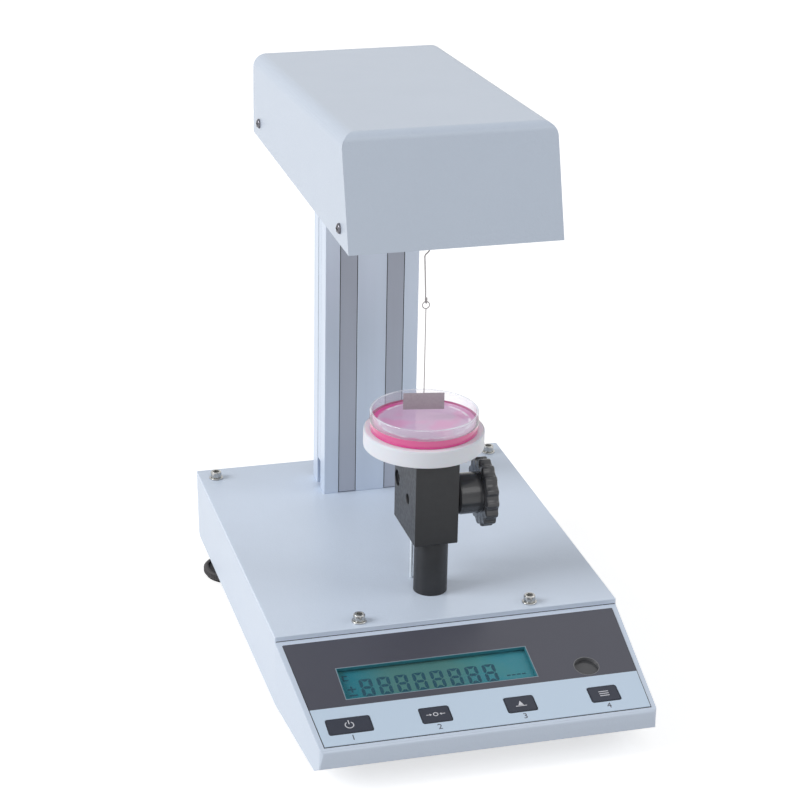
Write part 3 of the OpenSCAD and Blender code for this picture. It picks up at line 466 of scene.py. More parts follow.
def stands_for(piece, *nodes):
    """The piece replaces those CAD nodes, which are hidden."""
    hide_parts(*nodes)
    return piece


# edges bent by more than the corner angle are broken, ones by less than the flat angle dissolved first
CORNER_DEGREES, FLAT_DEGREES, WELD_MM = 32, 0.4, 0.002


def rounded(node_name, radius):
    """A copy of a CAD node with its edges broken to that radius in millimetres."""
    mesh = NODES[node_name].data.copy()
    if "custom_normal" in mesh.attributes:
        mesh.attributes.remove(mesh.attributes["custom_normal"])
    shape = bmesh.new()
    shape.from_mesh(mesh)
    bmesh.ops.remove_doubles(shape, verts=shape.verts, dist=WELD_MM * MM)
    bmesh.ops.dissolve_limit(shape, angle_limit=math.radians(FLAT_DEGREES), verts=shape.verts,
                             edges=shape.edges)
    for edge in shape.edges:
        edge.smooth = True
    shape.to_mesh(mesh)
    shape.free()
    piece = new_piece(node_name + "_rounded", mesh, BODY_OF[node_name], smooth_below=CORNER_DEGREES)
    bevel = piece.modifiers.new("edges", "BEVEL")
    bevel.width = radius * MM
    bevel.segments = 3
    bevel.limit_method = "ANGLE"
    bevel.angle_limit = math.radians(CORNER_DEGREES)
    bevel.use_clamp_overlap = False
    bevel.harden_normals = True
    bevel.miter_outer = "MITER_ARC"
    return stands_for(piece, node_name)


def turned(name, rings, place, body, material, segments=72, smooth_below=35):
    """A closed solid on the Z axis of place. Each ring is (outline, height) in millimetres, from the
    middle of one end to the middle of the other; an outline is a radius or a function of the angle."""
    shape = bmesh.new()
    loops = []
    for outline, height in rings:
        radius = outline if callable(outline) else (lambda _angle, r=outline: r)
        if not callable(outline) and outline == 0:
            loops.append([shape.verts.new(place @ Vector((0, 0, height * MM)))])
            continue
        angles = [2 * math.pi * k / segments for k in range(segments)]
        loops.append([shape.verts.new(place @ (Vector((math.cos(a) * radius(a), math.sin(a) * radius(a),
                                                       height)) * MM)) for a in angles])
    for low, high in zip(loops, loops[1:]):
        for k in range(segments):
            n = (k + 1) % segments
            corners = [low[k % len(low)], low[n % len(low)], high[n % len(high)], high[k % len(high)]]
            unique = list(dict.fromkeys(corners))
            if len(unique) >= 3:
                shape.faces.new(unique)
    bmesh.ops.recalc_face_normals(shape, faces=shape.faces)
    mesh = bpy.data.meshes.new(name)
    shape.to_mesh(mesh)
    shape.free()
    return new_piece(name, mesh, body, material, smooth_below)


def hexagon(apothem):
    """Outline of a hexagon by the angle."""
    return lambda a: apothem / math.cos((a + math.pi / 6) % (math.pi / 3) - math.pi / 6)


def knurled(radius, depth, count):
    """Outline with fine straight knurls."""
    return lambda a: radius - depth * abs(math.sin(count * a / 2))


def cross(half_width, length):
    """Outline of a crossed recess."""
    def outline(a):
        c, s = abs(math.cos(a)), abs(math.sin(a))
        bars = [min(length / max(u, 1e-6), half_width / max(v, 1e-6)) for u, v in ((c, s), (s, c))]
        return max(bars)
    return outline


def aligned(place, direction):
    """The frame at a place whose Z axis points that way."""
    return Matrix.Translation(place) @ Vector(direction).to_track_quat("Z", "Y").to_matrix().to_4x4()


def fasteners(node_name, rings, places, finish):
    """One piece for a node of equal fasteners, turned from the same rings at each place."""
    name = node_name + "_turned"
    material = MATERIALS[finish]
    shape = bmesh.new()
    for place in places:
        solid = turned("fastener", rings, place, "root", material)
        shape.from_mesh(solid.data)
        bpy.data.objects.remove(solid)
    mesh = bpy.data.meshes.new(name)
    shape.to_mesh(mesh)
    shape.free()
    stands_for(new_piece(name, mesh, "root", material), node_name)


def cap_screw_rings(r, below, head_r, head_h):
    """Knurled socket-head screw, the head's underside at height 0."""
    edge = 0.35
    socket = r * 0.95
    return [(0, -below), (r * 0.85, -below), (r, -below + 0.4), (r, 0), (head_r - edge, 0),
            (knurled(head_r, 0.16, 40), edge), (knurled(head_r, 0.16, 40), head_h - edge * 1.6),
            (head_r - edge * 0.35, head_h - edge), (head_r - edge * 1.4, head_h),
            (socket * 1.25, head_h), (hexagon(socket), head_h - 0.15), (hexagon(socket), head_h / 2),
            (0, head_h / 2 - 0.5)]


def pan_screw_rings(r, below, head_r, head_h):
    """Domed screw with a crossed recess, the head's underside at height 0."""
    dome = [(head_r * math.cos(t), head_h * (0.35 + 0.65 * math.sin(t)))
            for t in [math.radians(d) for d in (0, 18, 36, 52, 64)]]
    slot = cross(r * 0.32, head_r * 0.60)
    return ([(0, -below), (r * 0.8, -below), (r, -below + 0.4), (r, 0), (head_r, 0)] + dome
            + [(cross(r * 0.38, head_r * 0.64), head_h * 0.96), (slot, head_h * 0.70),
               (cross(r * 0.22, head_r * 0.34), head_h * 0.25), (0, head_h * 0.15)])


def swept(name, points, radius, body):
    """A round steel wire along points in metres, its radius in millimetres."""
    sides = 16
    shape = bmesh.new()
    side = Vector((1, 0, 0))
    rings = []
    for i, p in enumerate(points):
        ahead = points[min(i + 1, len(points) - 1)] - points[max(i - 1, 0)]
        ahead.normalize()
        side = (side - ahead * side.dot(ahead)).normalized()
        other = ahead.cross(side)
        rings.append([shape.verts.new(p + (side * math.cos(t) + other * math.sin(t)) * radius * MM)
                      for t in [2 * math.pi * k / sides for k in range(sides)]])
    for low, high in zip(rings, rings[1:]):
        for k in range(sides):
            shape.faces.new([low[k], low[(k + 1) % sides], high[(k + 1) % sides], high[k]])
    shape.faces.new(list(reversed(rings[0])))
    shape.faces.new(rings[-1])
    bmesh.ops.recalc_face_normals(shape, faces=shape.faces)
    mesh = bpy.data.meshes.new(name)
    shape.to_mesh(mesh)
    shape.free()
    return new_piece(name, mesh, body, MATERIALS["wire_steel"], 60)


def plates(name, outlines, place, thickness, body, material):
    """Flat raised marks: each outline is a list of (x, y) in millimetres in the frame of place."""
    shape = bmesh.new()
    for outline in outlines:
        low = [shape.verts.new(place @ (Vector((x, y, 0)) * MM)) for x, y in outline]
        high = [shape.verts.new(place @ (Vector((x, y, thickness)) * MM)) for x, y in outline]
        shape.faces.new(list(reversed(low)))
        shape.faces.new(high)
        for k in range(len(outline)):
            n = (k + 1) % len(outline)
            shape.faces.new([low[k], low[n], high[n], high[k]])
    bmesh.ops.recalc_face_normals(shape, faces=shape.faces)
    mesh = bpy.data.meshes.new(name)
    shape.to_mesh(mesh)
    shape.free()
    piece = new_piece(name, mesh, body, material, 0)
    return piece


# ------------------------------------------------------------------ camera, floor and light
# solved from the photograph's corners
CAMERA_LENS, CAMERA_SENSOR = 107.32, 36
CAMERA_PLACE = (-0.36156, -1.24489, 0.70200)
CAMERA_FORWARD = (0.25112871, 0.88778328, -0.3857139)
CAMERA_RIGHT = (0.96409191, -0.26496993, 0.01782482)


def make_camera():
    data = bpy.data.cameras.new("camera")
    data.lens = CAMERA_LENS
    data.sensor_width = CAMERA_SENSOR
    data.clip_start, data.clip_end = 0.05, 50
    camera = bpy.data.objects.new("camera", data)
    bpy.context.scene.collection.objects.link(camera)
    forward = Vector(CAMERA_FORWARD)
    right = Vector(CAMERA_RIGHT)
    right = (right - forward * right.dot(forward)).normalized()
    up = right.cross(forward)
    turn = Matrix((right, up, -forward)).transposed().to_4x4()
    camera.matrix_world = Matrix.Translation(CAMERA_PLACE) @ turn
    bpy.context.scene.camera = camera


def seen_directly(tree):
    """1 for rays from the camera, mirrors and glass, 0 for light that falls on things."""
    path = tree.nodes.new("ShaderNodeLightPath")
    first = tree.nodes.new("ShaderNodeMath")
    first.operation = "MAXIMUM"
    second = tree.nodes.new("ShaderNodeMath")
    second.operation = "MAXIMUM"
    tree.links.new(path.outputs["Is Camera Ray"], first.inputs[0])
    tree.links.new(path.outputs["Is Glossy Ray"], first.inputs[1])
    tree.links.new(first.outputs[0], second.inputs[0])
    tree.links.new(path.outputs["Is Transmission Ray"], second.inputs[1])
    return second.outputs[0]


def make_world(ambient):
    """A white room: as bright as it looks where it is seen, and ambient where it lights things."""
    world = bpy.data.worlds.new("studio")
    bpy.context.scene.world = world
    world.use_nodes = True
    tree = world.node_tree
    strength = tree.nodes.new("ShaderNodeMapRange")
    strength.inputs["To Min"].default_value = ambient
    strength.inputs["To Max"].default_value = 1.0
    tree.links.new(seen_directly(tree), strength.inputs["Value"])
    background = tree.nodes["Background"]
    background.inputs["Color"].default_value = (1, 1, 1, 1)
    tree.links.new(strength.outputs["Result"], background.inputs["Strength"])


def make_floor(grey, own_light):
    """A wide matt floor with some light of its own where it is seen directly."""
    mesh = bpy.data.meshes.new("floor")
    reach = 12
    corners = [(-reach, -reach, 0), (reach, -reach, 0), (reach, reach, 0), (-reach, reach, 0)]
    mesh.from_pydata(corners, [], [(0, 1, 2, 3)])
    floor = bpy.data.objects.new("floor", mesh)
    bpy.context.scene.collection.objects.link(floor)
    material = new_material("floor_white", (grey, grey, grey), 0.9)
    shader = shader_of(material)
    shader.inputs["Specular IOR Level"].default_value = 0
    shader.inputs["Emission Color"].default_value = (1, 1, 1, 1)
    strength = add(material, "ShaderNodeMath", operation="MULTIPLY")
    strength.inputs[1].default_value = own_light
    link(material, seen_directly(material.node_tree), strength.inputs[0])
    link(material, strength.outputs[0], shader.inputs["Emission Strength"])
    mesh.materials.append(material)


OBJECT_MIDDLE = Vector((0, 0, 0.12))
# direction from the origin, distance along it, size and power
LAMPS = {
    "left_softbox": ((-0.832, -0.030, 0.554), 5.0, 2.5, 152),
    "front_softbox": ((0.10, -0.76, 0.64), 4.0, 2.0, 21),
    "right_softbox": ((0.80, -0.30, 0.52), 4.0, 2.0, 24),
}


def make_lamps():
    for name, (direction, distance, size, power) in LAMPS.items():
        data = bpy.data.lights.new(name, "AREA")
        data.shape = "SQUARE"
        data.size = size
        data.energy = power
        lamp = bpy.data.objects.new(name, data)
        bpy.context.scene.collection.objects.link(lamp)
        place = Vector(direction) * distance
        lamp.matrix_world = aligned(place, place - OBJECT_MIDDLE)


make_camera()
make_world(ambient=0.39)
make_floor(grey=0.70, own_light=0.62)
make_lamps()
bpy.context.scene.view_settings.view_transform = "Standard"

# ------------------------------------------------------------------ folded sheet, bars and blocks
EDGE_RADII = {
    "base_shell": 0.35, "deck_plate": 0.5, "bottom_plate": 0.3, "front_label": 0.08,
    "column": 0.35, "slot_covers": 0.2, "lift_block": 0.5, "stage_disc": 0.7,
    "power_inlet": 0.3, "key_power": 0.3, "key_tare": 0.3, "key_cal": 0.3, "key_mode": 0.3,
}
for node_name, radius in EDGE_RADII.items():
    rounded(node_name, radius)


# ------------------------------------------------------------------ screws and washers
WASHER_R, WASHER_BORE_R, WASHER_T, WASHER_EDGE = 4.4, 2.15, 0.9, 0.2
HEAD_SCREWS = [(22.8, 9), (226.8, 10)]
BOTTOM_Z = -44
BOTTOM_SCREWS = [(x, y) for x in (-94, 94) for y in (20, 120, 215)]


def make_fasteners():
    """The screws that show, with the washers under the deck's."""
    on_deck = [Matrix.Translation(at_deck(x, y, 0)) for x, y in DECK_SCREWS]
    washer = [(WASHER_BORE_R, 0), (WASHER_R - WASHER_EDGE, 0), (WASHER_R, WASHER_EDGE),
              (WASHER_R, WASHER_T - WASHER_EDGE), (WASHER_R - WASHER_EDGE, WASHER_T),
              (WASHER_BORE_R, WASHER_T), (WASHER_BORE_R, 0)]
    on_washers = [Matrix.Translation(at_deck(x, y, WASHER_T)) for x, y in DECK_SCREWS]
    cap_screw = cap_screw_rings(r=2, below=9, head_r=3.5, head_h=4)
    fasteners("deck_screws", cap_screw, on_washers, "bright_steel")
    fasteners("deck_washers", washer, on_deck, "bright_steel")
    on_head = [aligned(at_deck(side * HEAD_W / 2, y, HEAD_Z + z), (side, 0, 0))
               for side in (-1, 1) for y, z in HEAD_SCREWS]
    head_screw = pan_screw_rings(r=1.5, below=6, head_r=3, head_h=1.9)
    fasteners("head_screws", head_screw, on_head, "screw_steel")
    under_base = [aligned(at_deck(x, y, BOTTOM_Z), (0, 0, -1)) for x, y in BOTTOM_SCREWS]
    bottom_screw = pan_screw_rings(r=1.4, below=6, head_r=2.8, head_h=1.8)
    fasteners("bottom_screws", bottom_screw, under_base, "bright_steel")


make_fasteners()

# ------------------------------------------------------------------ feet
FEET = {"rear_left": (-89.8, 193.7), "rear_right": (89.8, 193.7), "front_left": (-75.9, -35),
        "front_right": (75.9, -35)}
DECK_ABOVE_TABLE = 56.4
FOOT_R, FOOT_H, PAD_H, STUD_R, STUD_L = 16.3, 6.2, 1.4, 2.9, 24
THREAD_TURNS, THREAD_DEPTH = 18, 0.35


def make_foot(name, x, y):
    """A rubber pad under a knurled disc with its threaded stud."""
    ground = Matrix.Translation(at_deck(x, y, -DECK_ABOVE_TABLE))
    pad_r = FOOT_R - 1.6
    sole = [(0, 0.3), (5, 0.3), (5.4, 0), (pad_r - 0.5, 0), (pad_r, 0.4), (pad_r, 1.1),
            (pad_r - 0.3, PAD_H), (5, PAD_H), (5, PAD_H - 0.6), (0, PAD_H - 0.6)]
    pad = turned("pad_" + name, sole, ground, "pad_" + name, MATERIALS["foot_rubber"])
    stands_for(pad, "foot_pad_" + name)
    disc_h = FOOT_H - PAD_H
    grip = knurled(FOOT_R, 0.55, 54)
    thread = []
    for k in range(THREAD_TURNS):
        thread += [(STUD_R - THREAD_DEPTH, disc_h + 0.4 + k), (STUD_R, disc_h + 0.9 + k)]
    rings = ([(0, 0), (FOOT_R - 1.6, 0), (FOOT_R - 0.9, 0.4), (grip, 0.9), (grip, disc_h - 0.9),
              (FOOT_R - 1.1, disc_h - 0.2), (FOOT_R - 1.6, disc_h), (FOOT_R - 3, disc_h),
              (FOOT_R - 3.2, disc_h - 1.2), (6.2, disc_h - 1.2), (6, disc_h), (STUD_R, disc_h)] + thread
             + [(STUD_R, STUD_L - 0.6), (STUD_R - 0.6, STUD_L), (0, STUD_L)])
    disc = turned("screw_" + name, rings, ground @ Matrix.Translation((0, 0, (PAD_H + 0.15) * MM)),
                  "screw_" + name, MATERIALS["foot_plastic"], 216)
    stands_for(disc, "foot_screw_" + name)


for foot_name, (foot_x, foot_y) in FEET.items():
    make_foot(foot_name, foot_x, foot_y)

# ------------------------------------------------------------------ knob
KNOB_X, SHAFT_Y, SHAFT_Z = 14.8, 44.6, 56.6
KNOB_R, KNOB_HUB_R, KNOB_HUB_L, KNOB_DISC_T, KNOB_LOBES, SHAFT_R = 20.4, 12.2, 14.4, 7.5, 16, 3
SCALLOP_R, SCALLOP_OUT = 4.0, 2.6


def lobed(radius, shrink=0.0):
    """Outline of the knob's disc: a circle with round scallops between the lobes."""
    centre, cut = radius + SCALLOP_OUT, SCALLOP_R + shrink

    def outline(a):
        pitch = 2 * math.pi / KNOB_LOBES
        off = (a % pitch) - pitch / 2
        reach = cut * cut - (centre * math.sin(off)) ** 2
        scallop = centre * math.cos(off) - math.sqrt(reach) if reach > 0 else radius
        return min(radius - shrink, scallop)
    return outline


def make_knob():
    """A hub on the shaft, the lobed disc with eased edges and the shallow recess in its face."""
    place = aligned(at_deck(KNOB_X, SHAFT_Y, SHAFT_Z), (1, 0, 0))
    end = KNOB_HUB_L + KNOB_DISC_T
    rings = [(SHAFT_R, 0), (KNOB_HUB_R - 3.0, 0), (KNOB_HUB_R - 1.5, 0.4), (KNOB_HUB_R - 0.4, 1.5),
             (KNOB_HUB_R, 3.0), (KNOB_HUB_R, KNOB_HUB_L - 0.6), (KNOB_HUB_R + 0.6, KNOB_HUB_L),
             (lobed(KNOB_R, 1.0), KNOB_HUB_L), (lobed(KNOB_R, 0.3), KNOB_HUB_L + 0.3),
             (lobed(KNOB_R), KNOB_HUB_L + 1.0), (lobed(KNOB_R), end - 1.0),
             (lobed(KNOB_R, 0.3), end - 0.3), (lobed(KNOB_R, 1.0), end), (11.6, end),
             (11.0, end - 0.4), (10.8, end - 1.0), (0, end - 1.0)]
    knob = turned("knob_moulded", rings, place, "knob_assembly", MATERIALS["black_plastic"], 320, 30)
    stands_for(knob, "knob")


make_knob()

# ------------------------------------------------------------------ dish and liquid
def quarter(steps=6):
    """Angles of a quarter turn, from 0."""
    return [math.pi / 2 * k / steps for k in range(steps + 1)]


def make_dish():
    """A pressed glass dish on a low foot ring, and the dyed liquid that wets its wall."""
    place = Matrix.Translation(at_deck(AXIS_X, STAGE_Y, DISH_Z))
    inner = DISH_R - DISH_T
    half_t = DISH_T / 2
    floor_top, heel_r, toe_r = 0.5, 0.6, 1.2
    rim = [(DISH_R - half_t + half_t * math.cos(t), DISH_H - half_t + half_t * math.sin(t))
           for t in [math.pi * k / 10 for k in range(11)]]
    heel = [(DISH_R - heel_r + heel_r * math.sin(t), 0.03 + heel_r - heel_r * math.cos(t))
            for t in quarter()]
    toe = [(inner - toe_r + toe_r * math.sin(t), floor_top + toe_r - toe_r * math.cos(t))
           for t in reversed(quarter())]
    profile = ([(0, 0.25), (DISH_R - 3.4, 0.25), (DISH_R - 2.8, 0.03)] + heel + rim + toe
               + [(0, floor_top)])
    dish = turned("dish_pressed", profile, place, "carriage", MATERIALS["dish_glass"], 192, 40)
    stands_for(dish, "dish")
    low, wall, corner_r, meniscus_l = floor_top + 0.1, inner - 0.03, 0.8, 2.2
    lower = [(wall - corner_r + corner_r * math.sin(t), low + corner_r - corner_r * math.cos(t))
             for t in quarter()]
    meniscus = [(wall - meniscus_l * (1 - u), LIQUID_DEPTH + MENISCUS * u ** 3)
                for u in [1, 0.8, 0.6, 0.4, 0.2, 0]]
    filling = [(0, low)] + lower + meniscus + [(0, LIQUID_DEPTH)]
    liquid = turned("liquid_dyed", filling, place, "carriage", MATERIALS["pink_liquid"], 192, 60)
    stands_for(liquid, "sample_liquid")


make_dish()

# ------------------------------------------------------------------ hook, eye and rod
HANG_X, HANG_Y = -1.0, 57.8
WIRE_R, EYE_WIRE_R, EYE_R, HOOK_R = 0.4, 0.3, 2.1, 1.3
EYE_TOP, PLATE_TOP, SENSOR_TOP = 173.6, 116.9, 257
HOOK_Z = EYE_TOP - 2 * EYE_WIRE_R - WIRE_R - 0.12 + HOOK_R
BEND_REACH = 1.0


def bent(corners):
    """Points along straight runs with a smooth bend at each inner corner, BEND_REACH each way."""
    corners = [at_deck(*c) for c in corners]
    points = [corners[0]]
    for before, corner, after in zip(corners, corners[1:], corners[2:]):
        start = corner + (before - corner).normalized() * BEND_REACH * MM
        end = corner + (after - corner).normalized() * BEND_REACH * MM
        for k in range(7):
            t = k / 6
            points.append(start * (1 - t) ** 2 + corner * 2 * t * (1 - t) + end * t ** 2)
    return points + [corners[-1]]


def make_hook():
    """The wire from the sensor, set off by two bends and turned up in a hook at its end."""
    back = HANG_Y + HOOK_R
    points = bent([(HANG_X + 1.8, back, SENSOR_TOP), (HANG_X + 1.8, back, 203.4),
                   (HANG_X - 1, back, 200.8), (HANG_X, back, 178), (HANG_X, back, HOOK_Z)])
    points += [at_deck(HANG_X, HANG_Y + HOOK_R * math.cos(t), HOOK_Z - HOOK_R * math.sin(t))
               for t in [math.pi * k / 16 for k in range(1, 17)]]
    points.append(at_deck(HANG_X, HANG_Y - HOOK_R, HOOK_Z + 2.4))
    stands_for(swept("hook_bent", points, WIRE_R, "root"), "hook_wire")


def make_hanger():
    """The plate's rod and the eye at its top, bent from one thin wire."""
    centre_z = EYE_TOP - EYE_R - EYE_WIRE_R
    eye = [at_deck(HANG_X + EYE_R * math.sin(t), HANG_Y, centre_z - EYE_R * math.cos(t))
           for t in [2 * math.pi * k / 40 for k in range(1, 40)]]
    low = centre_z - EYE_R
    points = [at_deck(HANG_X, HANG_Y, PLATE_TOP), at_deck(HANG_X, HANG_Y, low - 0.6)] + eye
    points.append(at_deck(HANG_X, HANG_Y + 0.1, low - 0.05))
    stands_for(swept("hanger_bent", points, EYE_WIRE_R, "hanger"), "plate_hanger")


make_hook()
make_hanger()

# ------------------------------------------------------------------ display
DIGITS, DIGIT_PITCH, DIGIT_W, DIGIT_H, STROKE = 8, 10.3, 7.4, 13.8, 2.0
DIGIT_LEFT, DIGIT_LOW = 11.1, 3.6
GLASS_LOW, GLASS_T = 4, 2.8
DISPLAY_TOP_W = -SHEET_T - GLASS_LOW + GLASS_T
PRINT_T, LINE_T, SEGMENT_T = 0.04, 0.03, 0.06


def seven_segments(x, y):
    """Outlines of a figure eight made of seven bars, its lower left corner at x, y."""
    w, h, s, gap = DIGIT_W, DIGIT_H, STROKE, 0.1
    mid = h / 2
    flat = [(s * 0.5 + gap, 0), (w - s * 0.5 - gap, 0), (w - s - gap, s / 2), (w - s * 1.5, s),
            (s * 1.5, s), (s + gap, s / 2)]

    def level(base, up):
        return [(x + px, base + (py if up else -py)) for px, py in flat]

    def middle():
        point, shoulder = s * 0.6 + gap, s * 1.1
        return [(x + point, y + mid), (x + shoulder, y + mid + s / 2),
                (x + w - shoulder, y + mid + s / 2), (x + w - point, y + mid),
                (x + w - shoulder, y + mid - s / 2), (x + shoulder, y + mid - s / 2)]

    def post(left, low, high):
        side = [(0, low + s * 0.5), (s * 0.5, low + gap), (s, low + s), (s, high - s),
                (s * 0.5, high - gap), (0, high - s * 0.5)]
        return [(x + (px if left else w - px), y + py) for px, py in side]

    bars = [level(y, True), level(y + h, False), middle()]
    for left in (True, False):
        bars += [post(left, 0.0, mid), post(left, mid, h)]
    return bars


def bar_mark(x, y, w, h):
    """Outline of a bar from its lower left corner."""
    return [(x, y), (x + w, y), (x + w, y + h), (x, y + h)]


def display_corner(w):
    """The frame of the display's lower left corner, w out of the panel."""
    return on_panel(DISPLAY_X - DISPLAY_W / 2, DISPLAY_S + DISPLAY_H / 2, w)


def make_display():
    """The dark segments: a row of eights, a plus, a minus, a bracket and four dashes."""
    marks = []
    for k in range(DIGITS):
        marks += seven_segments(DIGIT_LEFT + k * DIGIT_PITCH, DIGIT_LOW)
    plus = [bar_mark(3.6, 9.8, 4.6, 1.1), bar_mark(5.35, 8.0, 1.1, 1.8), bar_mark(5.35, 10.9, 1.1, 1.8)]
    minus = [bar_mark(3.6, 5.0, 4.6, 1.1)]
    bracket = [bar_mark(2.6, 17.4, 0.9, 4.2), bar_mark(3.5, 17.4, 2.2, 0.8),
               bar_mark(3.5, 20.8, 2.2, 0.8)]
    dashes = [bar_mark(95.5 + 3.0 * k, 6.2, 2.2, 1.0) for k in range(4)]
    plates("display_segments", marks + plus + minus + bracket + dashes, display_corner(DISPLAY_TOP_W),
           SEGMENT_T, "root", MATERIALS["display_segment"])


def frame_bars(w, h, line):
    """Four bars that frame a w by h opening from outside, its corner at 0, 0."""
    return [bar_mark(-line, -line, w + 2 * line, line), bar_mark(-line, h, w + 2 * line, line),
            bar_mark(-line, 0, line, h), bar_mark(w, 0, line, h)]


def make_display_frame():
    """A thin lining of the opening, and the fine line printed round it."""
    depth = SHEET_T + LABEL_T
    inset = 0.35
    lining = frame_bars(DISPLAY_W - 2 * inset, DISPLAY_H - 2 * inset, inset)
    inside = display_corner(-SHEET_T) @ Matrix.Translation((inset * MM, inset * MM, 0))
    plates("display_gasket", lining, inside, depth - 0.02, "root", MATERIALS["display_edge"])
    plates("display_border", frame_bars(DISPLAY_W, DISPLAY_H, 0.4), display_corner(LABEL_T), LINE_T,
           "root", MATERIALS["print_border"])


make_display()
make_display_frame()

# ------------------------------------------------------------------ keys' marks
KEY_TOP_W = LABEL_T + 0.3


def ring_arc(r, width, start, end):
    """Outline of part of a ring about 0, 0, angles in degrees."""
    steps = 28
    angles = [math.radians(start + (end - start) * k / steps) for k in range(steps + 1)]
    outer = [(r * math.cos(a), r * math.sin(a)) for a in angles]
    inner = [((r - width) * math.cos(a), (r - width) * math.sin(a)) for a in reversed(angles)]
    return outer + inner


def quads(outline):
    """Cuts a ring outline into four-sided pieces, which a flat plate can be made of."""
    half = len(outline) // 2
    return [[outline[k], outline[k + 1], outline[-2 - k], outline[-1 - k]] for k in range(half - 1)]


def key_marks(name):
    """Generic marks: power symbol, zero between arrows, weight on a pan, and a list."""
    if name == "key_power":
        return quads(ring_arc(2.6, 0.55, 120, 420)) + [bar_mark(-0.28, 0.6, 0.56, 3.0)]
    if name == "key_tare":
        marks = quads(ring_arc(1.5, 0.5, 0, 360))
        for side in (-1, 1):
            shaft = [(side * 5.4, -0.22), (side * 3.2, -0.22), (side * 3.2, 0.22), (side * 5.4, 0.22)]
            tip = [(side * 2.2, 0.0), (side * 3.4, 0.9), (side * 3.4, -0.9)]
            marks += [shaft[::-side], tip[::side]]
        return marks
    if name == "key_cal":
        return [bar_mark(-3.2, -1.9, 6.4, 0.5), [(-1.6, -1.1), (1.6, -1.1), (0, 2.2)]]
    return [bar_mark(-2.8, y, 5.6, 0.55) for y in (-1.9, -0.3, 1.3)]


def make_key_marks():
    for name, x in KEYS.items():
        place = on_panel(x, KEY_S, KEY_TOP_W)
        plates(name + "_mark", key_marks(name), place, PRINT_T, BODY_OF[name],
               MATERIALS["legend_pale"])


NUMBER_H, NUMBER_T, NUMBER_BELOW = 4.0, 0.02, 5.4
FONT_SIZE_PER_HEIGHT = 1.4


def printed_number(name, text, place):
    """A printed figure, centred at place."""
    curve = bpy.data.curves.new(name, "FONT")
    curve.body = text
    curve.size = NUMBER_H * FONT_SIZE_PER_HEIGHT * MM
    curve.align_x = "CENTER"
    curve.extrude = NUMBER_T * MM
    source = bpy.data.objects.new(name, curve)
    bpy.context.scene.collection.objects.link(source)
    bpy.context.view_layer.update()
    mesh = bpy.data.meshes.new_from_object(source.evaluated_get(bpy.context.evaluated_depsgraph_get()))
    bpy.data.objects.remove(source)
    mesh.transform(place)
    new_piece(name, mesh, "root", MATERIALS["print_dark"], 0)


def make_key_numbers():
    for number, (name, x) in enumerate(KEYS.items(), 1):
        place = on_panel(x, KEY_S + KEY_H / 2 + NUMBER_BELOW, LABEL_T + LINE_T)
        printed_number(name + "_number", str(number), place)


make_key_marks()
make_key_numbers()

# ------------------------------------------------------------------ level
LEVEL_DEPTH, LEVEL_FLUID_R = 9.3, 5.8
SLEEVE_T, LIP_W = 0.3, 0.22


def make_level():
    """A round bubble level: vial with its rim, the fluid's dome with a ring on it, and the hole's dark
    sleeve and lip."""
    base = on_panel(LEVEL_X, LEVEL_S, -SHEET_T - LEVEL_DEPTH) @ Matrix.Rotation(-PANEL_SLOPE, 4, "X")
    vial = [(0, 0), (6.8, 0), (7.0, 0.2), (7.0, 3.9), (6.8, 4.2), (6.1, 4.2), (5.9, 3.9), (5.9, 1.2),
            (0, 1.2)]
    body = turned("level_vial_body", vial, base, "root", MATERIALS["level_rim"], 96)
    stands_for(body, "level_vial")
    dome = [(LEVEL_FLUID_R * math.cos(t), 3.0 + 0.9 * math.sin(t)) for t in quarter(8)[:-1]]
    fluid = turned("level_fluid", [(0, 1.3), (LEVEL_FLUID_R, 1.3)] + dome + [(0, 3.9)], base, "root",
                   MATERIALS["level_fluid"], 96, 60)
    ring = [(2.7, 0), (2.9, 0), (2.9, 0.05), (2.7, 0.05), (2.7, 0)]
    on_dome = base @ Matrix.Translation((0, 0, 3.82 * MM))
    mark = turned("level_ring", ring, on_dome, "root", MATERIALS["shadow_and_print_black"], 64)
    outer = LEVEL_R - 0.02
    inner = outer - SLEEVE_T
    depth = SHEET_T + LABEL_T
    sleeve = [(inner, 0), (outer, 0), (outer, depth + 0.10), (inner + 0.05, depth + 0.12),
              (inner, depth), (inner, 0)]
    lining = turned("level_sleeve", sleeve, on_panel(LEVEL_X, LEVEL_S, -SHEET_T), "root",
                    MATERIALS["level_sleeve"], 96)
    rim = [(LEVEL_R, 0), (LEVEL_R + LIP_W, 0), (LEVEL_R + LIP_W, PRINT_T), (LEVEL_R, PRINT_T),
           (LEVEL_R, 0)]
    lip = turned("level_lip", rim, on_panel(LEVEL_X, LEVEL_S, LABEL_T), "root",
                 MATERIALS["level_lip"], 96)


make_level()

# ------------------------------------------------------------------ seams and printed lines
LABEL_LENGTH = LIP_REACH / math.cos(PANEL_SLOPE)
LABEL_MARGIN, LABEL_INSET_TOP, LABEL_INSET_LOW = 3.4, 3.7, 8.8
SEAM_W, SEAM_T = 0.5, 0.05
SLOT_X, SLOT_W, SIDE_SLOT_W = 15, 11.4, 8
SLOT_LOW, SIDE_SLOT_LOW = 0.5, 18
SHADOW_W, SHADOW_BACK = 0.42, 0.19


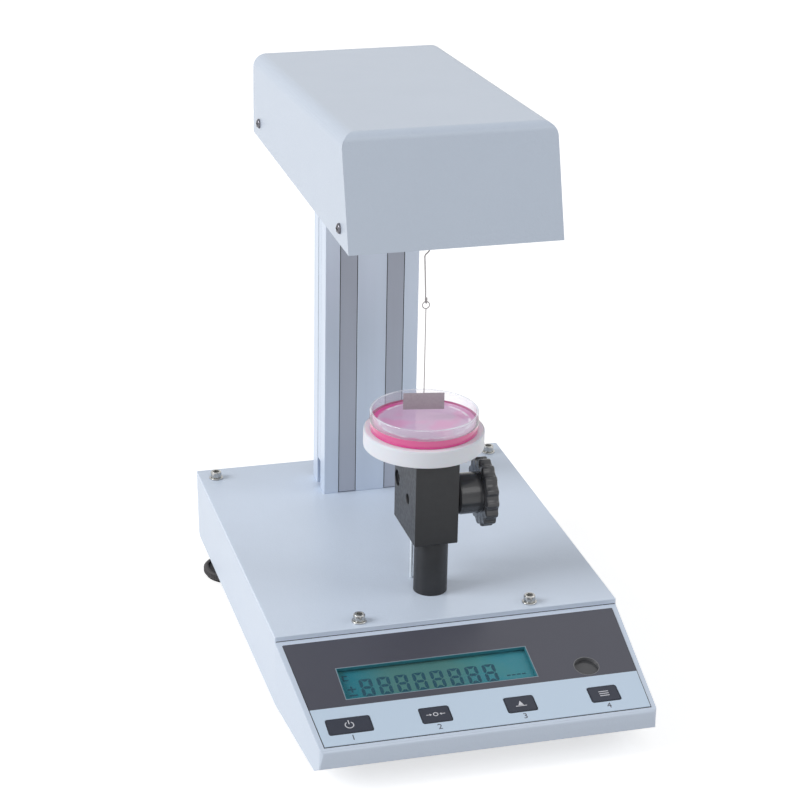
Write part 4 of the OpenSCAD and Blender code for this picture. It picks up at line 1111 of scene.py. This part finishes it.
def make_seams():
    """Dark lines painted as shadow: the shadow gap round the label's lower edges and the joint under
    the deck plate.
    """
    painted_shadow = MATERIALS["shadow_and_print_black"]
    half_top = DECK_W / 2 - LABEL_INSET_TOP
    half_low = DECK_W / 2 - LABEL_INSET_LOW
    high, low = -LABEL_MARGIN, LABEL_MARGIN - LABEL_LENGTH
    outlines = []
    for side in (-1, 1):
        outline = [(side * half_top, high), (side * (half_top + SEAM_W * 0.6), high),
                   (side * (half_low + SEAM_W), low - SEAM_W), (side * half_low, low - SEAM_W)]
        outlines.append(outline[::-side])
    outlines.append([(-half_low, low), (-half_low, low - SEAM_W), (half_low, low - SEAM_W),
                     (half_low, low)])
    plates("label_gap_shadow", outlines, on_panel(0, 0, 0.0), SEAM_T, "root", painted_shadow)
    front = Matrix.Translation(at_deck(0, 0, -PANEL_DROP)) @ Matrix.Rotation(math.pi / 2, 4, "X")
    joint = [bar_mark(0.6 - DECK_W / 2, 0, DECK_W - 1.2, 0.58)]
    plates("deck_joint_shadow", joint, front, SEAM_T, "root", painted_shadow)


def make_slot_shadows():
    """Painted shadow: dark lines in the gaps beside the strips in the column's slots."""
    shadows = [((side * SLOT_X, y), SLOT_W, turn, SLOT_LOW) for side in (-1, 1)
               for y, turn in ((COLUMN_Y, 0), (COLUMN_Y + COLUMN_D, math.pi))]
    side_y = COLUMN_Y + COLUMN_D / 2
    shadows += [((side * COLUMN_W / 2, side_y), SIDE_SLOT_W, side * math.pi / 2, SIDE_SLOT_LOW)
                for side in (-1, 1)]
    for number, ((x, y), width, turn, low) in enumerate(shadows):
        face = (Matrix.Translation(at_deck(x, y, low)) @ Matrix.Rotation(turn, 4, "Z")
                @ Matrix.Rotation(math.pi / 2, 4, "X") @ Matrix.Translation((0, 0, -SHADOW_BACK * MM)))
        length = HEAD_Z - 1 - low
        bars = [bar_mark(start, 0, SHADOW_W, length) for start in (-width / 2, width / 2 - SHADOW_W)]
        plates("slot_shadow_%d" % number, bars, face, LINE_T, "root", MATERIALS["shadow_and_print_black"])


make_seams()
make_slot_shadows()

bpy.context.view_layer.update()
